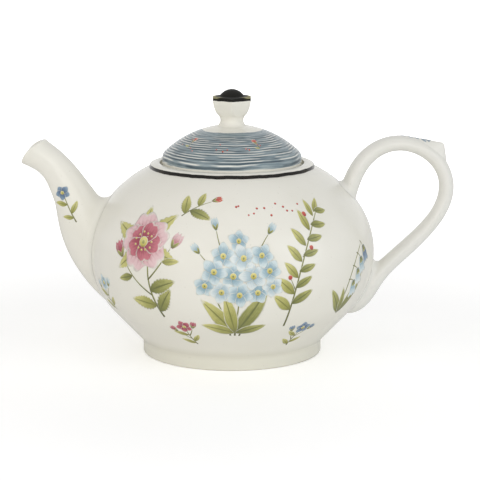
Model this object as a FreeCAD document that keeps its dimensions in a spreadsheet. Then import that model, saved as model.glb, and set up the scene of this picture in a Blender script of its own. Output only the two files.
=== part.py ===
import FreeCAD, Part
import math
import os
import re
import Sketcher
from FreeCAD import Placement, Rotation, Vector

DOC = FreeCAD.newDocument("Teapot")
DIMS = DOC.addObject("Spreadsheet::Sheet", "Dims")

# Driving dimensions in millimetres and degrees. The pot stands on z = 0 with its axis on Z,
# the handle towards +X and the spout towards -X.
SIZES = (
    ("belly_radius", 84.0, "widest radius of the bowl"),
    ("belly_height", 60.0, "height of the widest circle"),
    ("belly_curve", 4.5, "how much tighter the belly turns than one sweep up to the rim"),
    ("shoulder_curve", 18.0, "how much flatter the shoulder turns than the belly"),
    ("lower_slope", 47.0, "slope of the bowl above the foot"),
    ("wall", 4.0, "thickness of the bowl"),
    ("floor_thick", 5.0, "thickness of the floor"),
    ("floor_curve", 9.0, "inside corner radius at the floor"),
    ("foot_radius", 53.0, "outer radius of the foot ring"),
    ("foot_height", 5.0, "height of the foot ring"),
    ("foot_width", 5.0, "radial width of the foot ring"),
    ("foot_round", 0.9, "edge radius of the foot ring"),
    ("foot_neck", 0.9, "upright wall between the foot ring and the hollow above it"),
    ("foot_cove", 4.0, "hollow between bowl and foot"),
    ("rim_height", 113.0, "inner edge of the lip above the table"),
    ("rim_slope", 0.8, "fall of the lip to its outer edge"),
    ("rim_band", 1.7, "upright band at the outer edge of the lip"),
    ("lip_width", 5.6, "radial width of the lip"),
    ("lip_curve", 8.0, "profile radius of the lip"),
    ("ledge_depth", 3.6, "depth of the lid ledge below the lip"),
    ("ledge_width", 5.6, "radial width of the lid ledge"),
    ("ledge_thick", 4.0, "thickness of the lid ledge"),
    ("port_radius", 12.0, "radius of the pierced wall behind the spout"),
    ("port_rise", 7.0, "height of the port above the widest circle"),
    ("pierce_radius", 2.2, "radius of one strainer hole"),
    ("pierce_circle", 7.2, "radius of the circle of strainer holes"),
    ("lid_radius", 41.0, "edge radius of the lid"),
    ("lid_play", 1.6, "radial play of the lid in the rim"),
    ("lid_lift_gap", 0.3, "space under the seated lid"),
    ("lid_edge", 5.7, "height of the upright lid edge"),
    ("lid_edge_curve", 5.8, "profile radius over the lid edge"),
    ("lid_rise", 19.7, "rise of the dome above the lid edge"),
    ("lid_wall", 3.6, "thickness of the lid"),
    ("vent_radius", 1.5, "radius of the steam vent"),
    ("vent_offset", 26.0, "vent distance from the lid axis"),
    ("flange_play", 0.9, "radial play of the flange in the throat"),
    ("flange_wall", 3.4, "thickness of the flange"),
    ("flange_depth", 10.0, "depth of the flange below the lid"),
    ("flange_round", 1.0, "edge radius of the flange"),
    ("knob_base", 8.8, "radius of the knob where it meets the lid"),
    ("knob_sink", 2.0, "depth of the knob's blank below the crown, trimmed to the lid"),
    ("knob_edge", 0.5, "upright edge of the brim"),
    ("knob_neck", 6.8, "least radius of the knob"),
    ("knob_neck_rise", 2.7, "height of the neck above the lid"),
    ("knob_hollow", 4.0, "profile radius of the hollow between the neck and the knob's cup"),
    ("knob_brim", 12.8, "corner radius of the brim"),
    ("knob_brim_rise", 15.6, "height of the brim above the lid"),
    ("knob_cap", 7.2, "radius of the domed top"),
    ("knob_cap_rise", 16.9, "height of the foot of the domed top above the lid"),
    ("knob_top_rise", 20.9, "height of the knob above the lid"),
    ("spout_sink", 11.3, "depth of the spout root inside the bowl's side at its heel"),
    ("spout_drop", 4.4, "spout root below the widest circle"),
    ("spout_reach", 32.7, "mouth centre beyond the widest circle"),
    ("spout_rise", 6.5, "mouth centre above the lip"),
    ("spout_root_out", 33.6, "outward pull of the spout curve at the root"),
    ("spout_root_up", 24.0, "upward pull of the spout curve at the root"),
    ("spout_mouth_out", 31.7, "outward pull of the spout curve at the mouth"),
    ("spout_mouth_up", 23.9, "upward pull of the spout curve at the mouth"),
    ("spout_root_tall", 25.4, "half height of the spout at its root"),
    ("spout_mouth_tall", 8.8, "half height of the spout at its mouth"),
    ("spout_root_share", 0.74, "width of the root as a share of its height"),
    ("spout_mouth_share", 0.88, "width of the mouth as a share of its height"),
    ("spout_taper", 1.9, "how early the spout narrows"),
    ("spout_wall", 2.8, "thickness of the spout"),
    ("spout_blend", 6.0, "radius of the slip run where the spout meets the bowl"),
    ("mouth_slope", 44.0, "turn of the mouth plane from level"),
    ("mouth_flare", 1.3, "added half height at the mouth"),
    ("mouth_droop", 1.3, "how far the mouth hangs over the line of the spout"),
    ("mouth_bulge", 2.6, "how far the lip of the mouth stands out at its sides"),
    ("mouth_round", 20.0, "profile radius of the lip of the mouth"),
    ("mouth_ease", 0.8, "edge radius of the lip of the mouth"),
    ("handle_thick", 4.35, "half thickness of the handle seen from the side"),
    ("handle_wide", 6.4, "half width of the handle seen from above"),
    ("handle_root_swell", 0.9, "added half thickness at the upper root"),
    ("handle_tail_swell", 1.6, "added half thickness at the lower root"),
    ("handle_reach", 42.4, "handle centre line beyond the widest circle"),
    ("handle_crest", 39.0, "outermost handle point above the widest circle"),
    ("handle_root_in", 3.2, "depth of the upper root inside the bowl's side"),
    ("handle_root_up", 33.1, "upper root above the widest circle"),
    ("handle_root_out", 11.8, "outward pull of the handle curve at the upper root"),
    ("handle_root_rise", 49.4, "upward pull of the handle curve at the upper root"),
    ("handle_crest_up", 25.0, "upward pull at the outermost point"),
    ("handle_crest_down", 25.1, "downward pull at the outermost point"),
    ("handle_tail_in", 0.3, "depth of the lower root inside the bowl's side"),
    ("handle_tail_down", 32.8, "lower root below the widest circle"),
    ("handle_tail_out", 27.2, "outward pull of the handle curve at the lower root"),
    ("handle_tail_rise", 35.6, "upward pull of the handle curve at the lower root"),
    ("handle_blend", 2.6, "radius of the slip run where the handle meets the bowl"),
    ("slip_edge", 0.05, "thickness at which a slip run thins out on the bowl"),
    ("spur_length", 14.4, "half length of the thumb spur along the handle"),
    ("spur_wide", 6.0, "half width of the thumb spur"),
    ("spur_tip", 0.7, "radius of the tip of the spur"),
    ("spur_out", 7.0, "tip of the spur beyond the handle centre line, outwards"),
    ("spur_up", 6.8, "tip of the spur beyond the handle centre line, upwards"),
)

# Lengths that follow from the driving dimensions.
LINKED = (
    ("gallery_radius", "lid_radius + lid_play"),
    ("rim_radius", "gallery_radius + lip_width"),
    ("band_top", "rim_height - rim_slope"),
    ("band_foot", "band_top - rim_band"),
    ("ledge_height", "rim_height - ledge_depth"),
    ("shoulder_out", "belly_radius - rim_radius"),
    ("shoulder_rise", "band_foot - belly_height"),
    ("belly_bend", "(shoulder_out^2 + shoulder_rise^2)/(2*shoulder_out) - belly_curve"),
    ("belly_hub", "belly_radius - belly_bend"),
    ("shoulder_bend", "belly_bend + shoulder_curve"),
    ("rim_span", "sqrt((rim_radius - belly_hub)^2 + shoulder_rise^2)"),
    ("rim_lean", "atan2(shoulder_rise; rim_radius - belly_hub)"),
    ("rim_swing", "acos((shoulder_curve^2 + rim_span^2 - shoulder_bend^2)/(2*shoulder_curve*rim_span))"),
    ("shoulder_x", "belly_hub + shoulder_curve*cos(rim_lean + rim_swing)"),
    ("shoulder_z", "belly_height + shoulder_curve*sin(rim_lean + rim_swing)"),
    ("cone_sine", "sin(lower_slope*1deg)"),
    ("cone_cosine", "cos(lower_slope*1deg)"),
    ("knee_height", "foot_height + foot_neck"),
    ("cone_foot", "knee_height + foot_cove*tan((90 - lower_slope)*0.5deg)"),
    ("cone_pull", "cone_cosine*(belly_height - cone_foot) - cone_sine*(belly_radius - foot_radius)"),
    ("lower_bend", "cone_pull/(1 - cone_sine)"),
    ("cone_top", "belly_height - lower_bend*cone_cosine"),
    ("throat_radius", "gallery_radius - ledge_width"),
    ("floor_height", "foot_height + floor_thick"),
    ("port_height", "belly_height + port_rise"),
    ("lid_seat", "ledge_height + lid_lift_gap"),
    ("lid_turn", "lid_seat + lid_edge"),
    ("crown_height", "lid_turn + lid_rise"),
    ("flange_radius", "throat_radius - flange_play"),
    ("flange_inside", "flange_radius - flange_wall"),
    ("knob_facet", "knob_brim * cos(30deg)"),
    (
        "lid_crown_curve",
        "((lid_radius - lid_edge_curve)^2 + lid_rise^2 - lid_edge_curve^2)"
        " / (2*(lid_rise - lid_edge_curve))",
    ),
    ("knob_skirt", "lid_crown_curve - sqrt(lid_crown_curve^2 - knob_base^2)"),
    ("spout_root_z", "belly_height - spout_drop"),
    ("spout_pull", "sqrt(spout_root_out^2 + spout_root_up^2)"),
    ("heel_height", "spout_root_z - spout_root_tall*spout_root_out/spout_pull"),
    ("heel_drop", "belly_height - heel_height"),
    ("heel_on_belly", "belly_radius - lower_bend + sqrt(abs(lower_bend^2 - heel_drop^2))"),
    ("heel_on_cone", "foot_radius + (heel_height - cone_foot)*cone_cosine/cone_sine"),
    ("heel_side", "heel_height > cone_top ? heel_on_belly : heel_on_cone"),
    ("spout_root_x", "-(heel_side - spout_sink)"),
    ("spout_mouth_x", "-(belly_radius + spout_reach)"),
    ("spout_mouth_z", "rim_height + spout_rise"),
    ("handle_root_z", "belly_height + handle_root_up"),
    ("root_side", "shoulder_x + sqrt(abs(shoulder_bend^2 - (handle_root_z - shoulder_z)^2))"),
    ("handle_root_x", "root_side - handle_root_in"),
    ("handle_crest_x", "belly_radius + handle_reach"),
    ("handle_crest_z", "belly_height + handle_crest"),
    ("handle_tail_z", "belly_height - handle_tail_down"),
    ("tail_on_belly", "belly_radius - lower_bend + sqrt(abs(lower_bend^2 - handle_tail_down^2))"),
    ("tail_on_cone", "foot_radius + (handle_tail_z - cone_foot)*cone_cosine/cone_sine"),
    ("tail_side", "handle_tail_z > cone_top ? tail_on_belly : tail_on_cone"),
    ("handle_tail_x", "tail_side - handle_tail_in"),
)

for row, (name, size, note) in enumerate(SIZES, 1):
    DIMS.set(f"A{row}", name)
    DIMS.set(f"B{row}", str(size))
    DIMS.set(f"C{row}", note)
    DIMS.setAlias(f"B{row}", name)
for row, (name, formula) in enumerate(LINKED, len(SIZES) + 1):
    DIMS.set(f"A{row}", name)
    DIMS.set(f"B{row}", "=" + formula)
    DIMS.setAlias(f"B{row}", name)
DOC.recompute()

NAMES = {entry[0] for entry in SIZES} | {entry[0] for entry in LINKED}
START, END, CENTRE = range(1, 4)
UPRIGHT, LEVEL = range(-2, 0)
ORIGIN = LEVEL


def tie(formula):
    """The formula with every dimension name pointed at the sheet."""
    return re.sub(r"[a-z][a-z_]+", lambda m: "Dims." + m[0] if m[0] in NAMES else m[0], formula)


def value(formula):
    """What a formula of dimension names comes to, as a plain number."""
    found = DIMS.evalExpression(formula)
    return float(getattr(found, "Value", found))


def new_body(name):
    """An empty body of the document."""
    return DOC.addObject("PartDesign::Body", name)


def origin_plane(body, role):
    """One of the three origin planes of a body."""
    return next(item for item in body.Origin.OriginFeatures if item.Role == role)


class Outline:
    """A sketch of lines and arcs whose dimensions are tied to the sheet."""

    def __init__(self, body, name, role="XZ_Plane"):
        self.sketch = body.newObject("Sketcher::SketchObject", name)
        self.sketch.AttachmentSupport = [(origin_plane(body, role), "")]
        self.sketch.MapMode = "FlatFace"

    def line(self, start, end):
        """A straight edge between two points given as numbers."""
        edge = Part.LineSegment(Vector(*start, 0), Vector(*end, 0))
        return self.sketch.addGeometry(edge, False)

    def arc(self, centre, radius, start, end):
        """An anticlockwise arc between two directions in degrees."""
        circle = Part.Circle(Vector(*centre, 0), Vector(0, 0, 1), radius)
        sweep = (FreeCAD.Units.Quantity(f"{angle} deg").getValueAs("rad").Value for angle in (start, end))
        return self.sketch.addGeometry(Part.ArcOfCircle(circle, *sweep), False)

    def rule(self, *terms):
        """A constraint without a dimension."""
        return self.sketch.addConstraint(Sketcher.Constraint(*terms))

    def drive(self, formula, *terms):
        """A constraint whose dimension follows a formula of the sheet."""
        size = value(formula)
        if terms[0] == "Angle":
            size = FreeCAD.Units.Quantity(f"{size} deg").getValueAs("rad").Value
        index = self.sketch.addConstraint(Sketcher.Constraint(*terms, size))
        self.sketch.setExpression(f"Constraints[{index}]", tie(formula))

    def across(self, formula, edge, point):
        """Holds a point at a distance from the axis."""
        self.drive(formula, "DistanceX", ORIGIN, 1, edge, point)

    def up(self, formula, edge, point):
        """Holds a point at a height."""
        self.drive(formula, "DistanceY", ORIGIN, 1, edge, point)

    def on_axis(self, edge, point):
        """Holds a point on the axis of the pot."""
        self.rule("PointOnObject", edge, point, UPRIGHT)

    def join(self, first, first_point, second, second_point):
        """Two edges meet in a corner."""
        self.rule("Coincident", first, first_point, second, second_point)

    def flow(self, first, first_point, second, second_point):
        """Two edges meet without a corner."""
        self.rule("Tangent", first, first_point, second, second_point)


def turned(body, outline, name):
    """The outline turned once round the axis of the pot."""
    DOC.recompute()
    solid = body.newObject("PartDesign::Revolution", name)
    solid.Profile = outline.sketch
    solid.ReferenceAxis = (outline.sketch, ["V_Axis"])
    solid.Angle = 360
    DOC.recompute()
    outline.sketch.Visibility = False
    return solid


def boolean(kind, name, base, tool):
    """A cut or common of two objects."""
    result = DOC.addObject(kind, name)
    result.Base = base
    result.Tool = tool
    return result


def cylinder(name, radius, height, x="0", y="0", z="0", tilt=None):
    """A round bar whose sizes and foot follow the sheet, upright unless it is tilted about Y."""
    bar = DOC.addObject("Part::Cylinder", name)
    bar.setExpression("Radius", tie(radius))
    bar.setExpression("Height", tie(height))
    if tilt is not None:
        bar.Placement = Placement(Vector(), Rotation(Vector(0, 1, 0), tilt))
    for letter, formula in zip("xyz", (x, y, z)):
        bar.setExpression(f"Placement.Base.{letter}", tie(formula))
    return bar


def shoulder_turn():
    """The centre of the shoulder's curve and the directions in which it starts and ends."""
    middle = value("shoulder_x"), value("shoulder_z")
    last = math.atan2(value("band_foot") - middle[1], value("rim_radius") - middle[0])
    return middle, value("rim_lean + rim_swing") - 180, math.degrees(last)


def cone_point(depth):
    """The point at a depth inside the wall where the cone of the bowl runs into the belly."""
    radius, middle = value("lower_bend") - depth, value("belly_radius - lower_bend")
    return middle + radius * value("cone_sine"), value("belly_height") - radius * value("cone_cosine")


def bowl_side(outline, corner):
    """Draws the outside of the bowl from the foot to the lip and returns its four upper edges.

    The edge named corner is the underside that the foot wall rises from.
    """
    slope, widest = value("lower_slope"), value("belly_height")
    foot, rim, band = value("foot_radius"), value("rim_radius"), value("band_foot")
    cove, knee = value("foot_cove"), value("knee_height")
    middle, first, last = shoulder_turn()
    wall = outline.line((foot, value("foot_height")), (foot, knee))
    hollow = outline.arc((foot + cove, knee), cove, 90 + slope, 180)
    cone = outline.line((foot + 0.3 * cove, knee + 0.7 * cove), cone_point(0))
    lower = outline.arc((value("belly_radius - lower_bend"), widest), value("lower_bend"), slope - 90, 0)
    belly = outline.arc((value("belly_hub"), widest), value("belly_bend"), 0, first)
    crest = outline.arc(middle, value("shoulder_bend"), first, last)
    edge = outline.line((rim, band), (rim, value("band_top")))
    outline.join(corner, END, wall, START)
    outline.rule("Vertical", wall)
    outline.up("knee_height", wall, END)
    outline.flow(wall, END, hollow, END)
    outline.drive("foot_cove", "Radius", hollow)
    outline.flow(hollow, START, cone, START)
    outline.drive("lower_slope", "Angle", cone)
    outline.flow(cone, END, lower, START)
    outline.flow(lower, END, belly, START)
    outline.rule("Horizontal", belly, CENTRE, belly, START)
    outline.across("belly_hub", belly, CENTRE)
    outline.up("belly_height", belly, CENTRE)
    outline.drive("belly_bend", "Radius", belly)
    outline.flow(belly, END, crest, START)
    outline.drive("shoulder_bend", "Radius", crest)
    outline.across("rim_radius", crest, END)
    outline.up("band_foot", crest, END)
    outline.join(crest, END, edge, START)
    outline.rule("Vertical", edge)
    outline.up("band_top", edge, END)
    return lower, belly, crest, edge


def underside(outline):
    """Draws the flat underside of the bowl and returns it."""
    foot, height = value("foot_radius"), value("foot_height")
    base = outline.line((0, height), (foot, height))
    outline.rule("Horizontal", base)
    outline.on_axis(base, START)
    outline.up("foot_height", base, START)
    outline.across("foot_radius", base, END)
    return base


def bowl_filled():
    """The bowl as a full solid, used to trim what is luted onto it."""
    body = new_body("BowlFilled")
    outline = Outline(body, "BowlFilledSketch")
    base = underside(outline)
    edge = bowl_side(outline, base)[-1]
    top = value("band_top")
    lid = outline.line((value("rim_radius"), top), (0, top))
    axis = outline.line((0, top), (0, value("foot_height")))
    outline.join(edge, END, lid, START)
    outline.rule("Horizontal", lid)
    outline.on_axis(lid, END)
    outline.join(lid, END, axis, START)
    outline.join(axis, END, base, START)
    turned(body, outline, "BowlFilledTurn")
    return body


def bowl_wall():
    """The bowl with its inside, lip, lid ledge and throat."""
    body = new_body("BowlWall")
    outline = Outline(body, "BowlWallSketch")
    base = underside(outline)
    lower, belly, crest, edge = bowl_side(outline, base)
    rim, gallery, throat = value("rim_radius"), value("gallery_radius"), value("throat_radius")
    ledge, wall, floor = value("ledge_height"), value("wall"), value("floor_height")
    under = ledge - value("ledge_thick")
    slope, widest = value("lower_slope"), value("belly_height")
    middle, first, last = shoulder_turn()
    bend = value("lip_curve")
    lip = outline.arc((rim - 0.45 * bend, value("band_top") - 0.85 * bend), bend, 62, 103)
    gallery_wall = outline.line((gallery, value("rim_height")), (gallery, ledge))
    shelf = outline.line((gallery, ledge), (throat, ledge))
    collar = outline.line((throat, ledge), (throat, under))
    inner_shoulder = value("shoulder_bend") - wall
    meet = math.asin((under - middle[1]) / inner_shoulder)
    ceiling = outline.line((throat, under), (middle[0] + inner_shoulder * math.cos(meet), under))
    inner_crest = outline.arc(middle, inner_shoulder, first, math.degrees(meet))
    inner_belly = outline.arc((value("belly_hub"), widest), value("belly_bend") - wall, 0, first)
    hollow, inner_low = value("lower_bend") - wall, cone_point(wall)
    inner_lower = outline.arc((value("belly_radius - lower_bend"), widest), hollow, slope - 90, 0)
    turn = value("floor_curve")
    lean = math.radians(slope)
    drop = inner_low[1] - floor - turn * (1 - math.cos(lean))
    heel = (inner_low[0] - drop / math.tan(lean), inner_low[1] - drop)
    hub = heel[0] - turn * math.sin(lean)
    inner_cone = outline.line(heel, inner_low)
    corner = outline.arc((hub, floor + turn), turn, 270, 270 + slope)
    ground = outline.line((hub, floor), (0, floor))
    axis = outline.line((0, floor), (0, value("foot_height")))
    outline.join(edge, END, lip, START)
    outline.drive("lip_curve", "Radius", lip)
    outline.across("gallery_radius", lip, END)
    outline.up("rim_height", lip, END)
    outline.join(lip, END, gallery_wall, START)
    outline.rule("Vertical", gallery_wall)
    outline.up("ledge_height", gallery_wall, END)
    outline.join(gallery_wall, END, shelf, START)
    outline.rule("Horizontal", shelf)
    outline.across("throat_radius", shelf, END)
    outline.join(shelf, END, collar, START)
    outline.rule("Vertical", collar)
    outline.up("ledge_height - ledge_thick", collar, END)
    outline.join(collar, END, ceiling, START)
    outline.rule("Horizontal", ceiling)
    outline.join(ceiling, END, inner_crest, END)
    outline.join(inner_crest, CENTRE, crest, CENTRE)
    outline.flow(inner_crest, START, inner_belly, END)
    outline.join(inner_belly, CENTRE, belly, CENTRE)
    outline.drive("belly_bend - wall", "Radius", inner_belly)
    outline.rule("Horizontal", inner_belly, CENTRE, inner_belly, START)
    outline.join(inner_lower, CENTRE, lower, CENTRE)
    outline.join(inner_belly, START, inner_lower, END)
    outline.flow(inner_lower, START, inner_cone, END)
    outline.drive("lower_slope", "Angle", inner_cone)
    outline.flow(inner_cone, START, corner, END)
    outline.drive("floor_curve", "Radius", corner)
    outline.flow(corner, START, ground, START)
    outline.rule("Horizontal", ground)
    outline.up("floor_height", ground, END)
    outline.on_axis(ground, END)
    outline.join(ground, END, axis, START)
    outline.join(axis, END, base, START)
    turned(body, outline, "BowlWallTurn")
    return body


def foot_ring():
    """The low ring that the pot stands on, with eased lower edges."""
    body = new_body("FootRing")
    outline = Outline(body, "FootRingSketch")
    outer, height, ease = value("foot_radius"), value("foot_height"), value("foot_round")
    inner = outer - value("foot_width")
    sole = outline.line((inner + ease, 0), (outer - ease, 0))
    outer_ease = outline.arc((outer - ease, ease), ease, 270, 360)
    side = outline.line((outer, ease), (outer, height))
    top = outline.line((outer, height), (inner, height))
    back = outline.line((inner, height), (inner, ease))
    inner_ease = outline.arc((inner + ease, ease), ease, 180, 270)
    outline.rule("PointOnObject", sole, START, LEVEL)
    outline.rule("Horizontal", sole)
    outline.flow(sole, END, outer_ease, START)
    outline.flow(outer_ease, END, side, START)
    outline.rule("Vertical", side)
    outline.join(side, END, top, START)
    outline.rule("Horizontal", top)
    outline.join(top, END, back, START)
    outline.rule("Vertical", back)
    outline.flow(back, END, inner_ease, START)
    outline.flow(inner_ease, END, sole, START)
    outline.drive("foot_round", "Radius", outer_ease)
    outline.drive("foot_round", "Radius", inner_ease)
    outline.across("foot_radius", top, START)
    outline.up("foot_height", top, START)
    outline.across("foot_radius - foot_width", top, END)
    turned(body, outline, "FootRingTurn")
    return body


def strainer_pins():
    """Seven bars that pierce the wall behind the spout, one of them on the port's own axis."""
    body = new_body("StrainerPins")
    middle = Outline(body, "PinSketch", "YZ_Plane")
    ring = Outline(body, "PinRingSketch", "YZ_Plane")
    for outline in (middle, ring):
        outline.sketch.setExpression("AttachmentOffset.Base.y", tie("port_height"))
    round_edge = Part.Circle(Vector(0, 0, 0), Vector(0, 0, 1), value("pierce_radius"))
    spot = middle.sketch.addGeometry(round_edge, False)
    middle.rule("Coincident", spot, CENTRE, ORIGIN, 1)
    middle.drive("pierce_radius", "Radius", spot)
    round_edge.Center = Vector(0, value("pierce_circle"), 0)
    spot = ring.sketch.addGeometry(round_edge, False)
    ring.on_axis(spot, CENTRE)
    ring.up("pierce_circle", spot, CENTRE)
    ring.drive("pierce_radius", "Radius", spot)
    DOC.recompute()
    for outline, name in ((middle, "PinPad"), (ring, "PinRingPad")):
        pad = body.newObject("PartDesign::Pad", name)
        pad.Profile = outline.sketch
        pad.setExpression("Length", tie("belly_radius + spout_reach"))
        pad.Reversed = True
        outline.sketch.Visibility = False
        DOC.recompute()
    pattern = body.newObject("PartDesign::PolarPattern", "PinRing")
    pattern.Originals = [pad]
    pattern.Axis = (ring.sketch, ["N_Axis"])
    pattern.Angle = 360
    pattern.Occurrences = 6
    body.Tip = pattern
    DOC.recompute()
    return body


def curve_point(t, places):
    """Formulas for the point and the direction at a share t of a four-point curve in the XZ plane.

    The weights are those of a cubic curve through the first and last of the four places.
    """
    s = 1 - t
    near = (s ** 3, 3 * s * s * t, 3 * s * t * t, t ** 3)
    steps = (-s * s, s * s - 2 * s * t, 2 * s * t - t * t, t * t)
    point = [" + ".join(f"{w:.6f}*({p[k]})" for w, p in zip(near, places)) for k in (0, 1)]
    course = [" + ".join(f"{w:.6f}*({p[k]})" for w, p in zip(steps, places)) for k in (0, 1)]
    return point, f"atan2({course[0]}; {course[1]})"


def oval(body, name, point, turn, half_plane, half_across):
    """An oval section square to the XZ plane, placed and turned by formulas of the sheet."""
    sketch = body.newObject("Sketcher::SketchObject", name)
    sketch.AttachmentSupport = [(origin_plane(body, "XY_Plane"), "")]
    sketch.MapMode = "FlatFace"
    angle = value(turn)
    sketch.AttachmentOffset = Placement(Vector(), Rotation(Vector(0, 1, 0), angle))
    for letter, formula in zip("xz", point):
        sketch.setExpression(f"AttachmentOffset.Base.{letter}", tie(formula))
    sketch.setExpression("AttachmentOffset.Rotation.Angle", tie(turn))
    near, far = value(half_plane), value(half_across)
    upright = far > near
    if upright:
        edge = Part.Ellipse(Vector(0, far, 0), Vector(-near, 0, 0), Vector(0, 0, 0))
    else:
        edge = Part.Ellipse(Vector(near, 0, 0), Vector(0, far, 0), Vector(0, 0, 0))
    sketch.addGeometry(edge, False)
    sketch.exposeInternalGeometry(0)
    sketch.addConstraint(Sketcher.Constraint("Coincident", 0, CENTRE, ORIGIN, 1))
    sketch.addConstraint(Sketcher.Constraint("Vertical" if upright else "Horizontal", 1))
    order = (half_across, half_plane) if upright else (half_plane, half_across)
    for line, formula in enumerate(order, 1):
        index = sketch.addConstraint(Sketcher.Constraint("Distance", line, 2 * value(formula)))
        sketch.setExpression(f"Constraints[{index}]", tie(f"2*({formula})"))
    sketch.Visibility = False
    return sketch


def loft(body, kind, name, sections):
    """A smooth skin through the sections in order, added to the body or taken from it."""
    DOC.recompute()
    skin = body.newObject(f"PartDesign::{kind}Loft", name)
    skin.Profile = sections[0]
    skin.Sections = sections[1:]
    skin.Ruled = False
    DOC.recompute()
    return skin


def spout_solids():
    """The curved spout as a full solid with a rounded mouth, and its bore, both reaching into the bowl."""
    end = (
        "spout_mouth_x + mouth_droop*cos(mouth_slope*1deg)",
        "spout_mouth_z + mouth_droop*sin(mouth_slope*1deg)",
    )
    places = (
        ("spout_root_x", "spout_root_z"),
        ("spout_root_x - spout_root_out", "spout_root_z + spout_root_up"),
        (f"{end[0]} + spout_mouth_out", f"{end[1]} - spout_mouth_up"),
        end,
    )
    _, turn = curve_point(0, places)
    sunk = ("spout_root_x + 0.5*spout_root_out", "spout_root_z - 0.5*spout_root_up")
    stations = [(0, sunk, turn, "0")]
    stations += [(t, *curve_point(t, places), "0") for t in (0, 0.2, 0.4, 0.6, 0.8, 0.9)]
    for reach, flare in (("0", "mouth_flare"), ("2*mouth_bulge", "1.6*mouth_flare")):
        point = (
            f"spout_mouth_x - {reach}*sin(mouth_slope*1deg)",
            f"spout_mouth_z + {reach}*cos(mouth_slope*1deg)",
        )
        stations.append((1, point, "-mouth_slope*1deg", flare))
    skin, bore = new_body("SpoutSkin"), new_body("SpoutBore")
    outside, inside = [], []
    for number, (t, point, turn, flare) in enumerate(stations):
        narrow = f"pow({1 - t:.1f}; spout_taper)" if t < 1 else "0"
        tall = f"spout_mouth_tall + (spout_root_tall - spout_mouth_tall)*{narrow} + {flare}"
        share = f"spout_mouth_share + (spout_root_share - spout_mouth_share)*{1 - t:.1f}"
        wide = f"({tall})*({share})"
        thin = (f"({tall}) - spout_wall", f"({wide}) - spout_wall")
        outside.append(oval(skin, f"SpoutOuter{number}", point, turn, tall, wide))
        inside.append(oval(bore, f"SpoutInner{number}", point, turn, *thin))
    loft(skin, "Additive", "SpoutLoft", outside)
    loft(bore, "Additive", "SpoutBoreLoft", inside)
    trim = Outline(skin, "MouthSketch")
    trim.sketch.AttachmentOffset = Placement(Vector(), Rotation(Vector(0, 0, 1), value("mouth_slope")))
    trim.sketch.setExpression("AttachmentOffset.Base.x", tie("spout_mouth_x"))
    trim.sketch.setExpression("AttachmentOffset.Base.y", tie("spout_mouth_z"))
    trim.sketch.setExpression("AttachmentOffset.Rotation.Angle", tie("mouth_slope*1deg"))
    half, radius, bulge = 1.6 * value("spout_mouth_tall"), value("mouth_round"), value("mouth_bulge")
    side = math.degrees(math.acos(half / radius))
    lip = trim.arc((0, bulge - radius), radius, side, 180 - side)
    low = bulge - radius + (radius ** 2 - half ** 2) ** 0.5
    left = trim.line((-half, low), (-half, half))
    top = trim.line((-half, half), (half, half))
    right = trim.line((half, half), (half, low))
    trim.on_axis(lip, CENTRE)
    trim.drive("mouth_round", "Radius", lip)
    trim.up("mouth_bulge - mouth_round", lip, CENTRE)
    trim.across("1.6*spout_mouth_tall", lip, START)
    trim.rule("Symmetric", lip, START, lip, END, UPRIGHT)
    trim.join(lip, END, left, START)
    trim.rule("Vertical", left)
    trim.join(left, END, top, START)
    trim.rule("Horizontal", top)
    trim.up("1.6*spout_mouth_tall", top, END)
    trim.join(top, END, right, START)
    trim.rule("Vertical", right)
    trim.join(right, END, lip, START)
    DOC.recompute()
    cut = skin.newObject("PartDesign::Pocket", "MouthTrim")
    cut.Profile = trim.sketch
    cut.setExpression("Length", tie("5*spout_mouth_tall"))
    cut.Midplane = True
    trim.sketch.Visibility = False
    DOC.recompute()
    return skin, bore


def spots(edge):
    """Three points along an edge."""
    span = edge.LastParameter - edge.FirstParameter
    return [edge.valueAt(edge.FirstParameter + span * share) for share in (0.13, 0.5, 0.87)]


def eased(name, base, radius, chosen):
    """The base with a fillet along the edges that the test picks out."""
    body = new_body(name)
    body.BaseFeature = base
    DOC.recompute()
    seam = [f"Edge{n}" for n, edge in enumerate(base.Shape.Edges, 1) if chosen(edge)]
    fillet = body.newObject("PartDesign::Fillet", name + "Fillet")
    fillet.Base = (body.Group[0], seam)
    fillet.setExpression("Radius", tie(radius))
    DOC.recompute()
    return body


def on_lip(edge):
    """Whether an edge lies on the rounded lip of the spout's mouth."""
    turn = Rotation(Vector(0, 1, 0), value("mouth_slope"))
    middle = Vector(value("spout_mouth_x"), 0, value("spout_mouth_z"))
    radius, depth = value("mouth_round"), value("mouth_bulge - mouth_round")
    flat = [turn.multVec(spot - middle) for spot in spots(edge)]
    return all(abs(Vector(spot.x, 0, spot.z - depth).Length - radius) < 1e-3 for spot in flat)


def luted(name, piece, radius):
    """A piece with the hollow run of slip where it meets the bowl, trimmed where the run thins out."""
    joined = boolean("Part::Fuse", name + "Joined", FILLED, piece)
    DOC.recompute()
    shells = [item.Shape.Solids[0].Shells[0] for item in (FILLED, piece)]

    def between(edge):
        corners = [Part.Vertex(spot) for spot in spots(edge)]
        return all(shell.distToShape(corner)[0] < 1e-3 for shell in shells for corner in corners)

    blend = eased(name + "Blend", joined, radius, between)
    return boolean("Part::Cut", name + "Luted", blend, SKIN)


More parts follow.
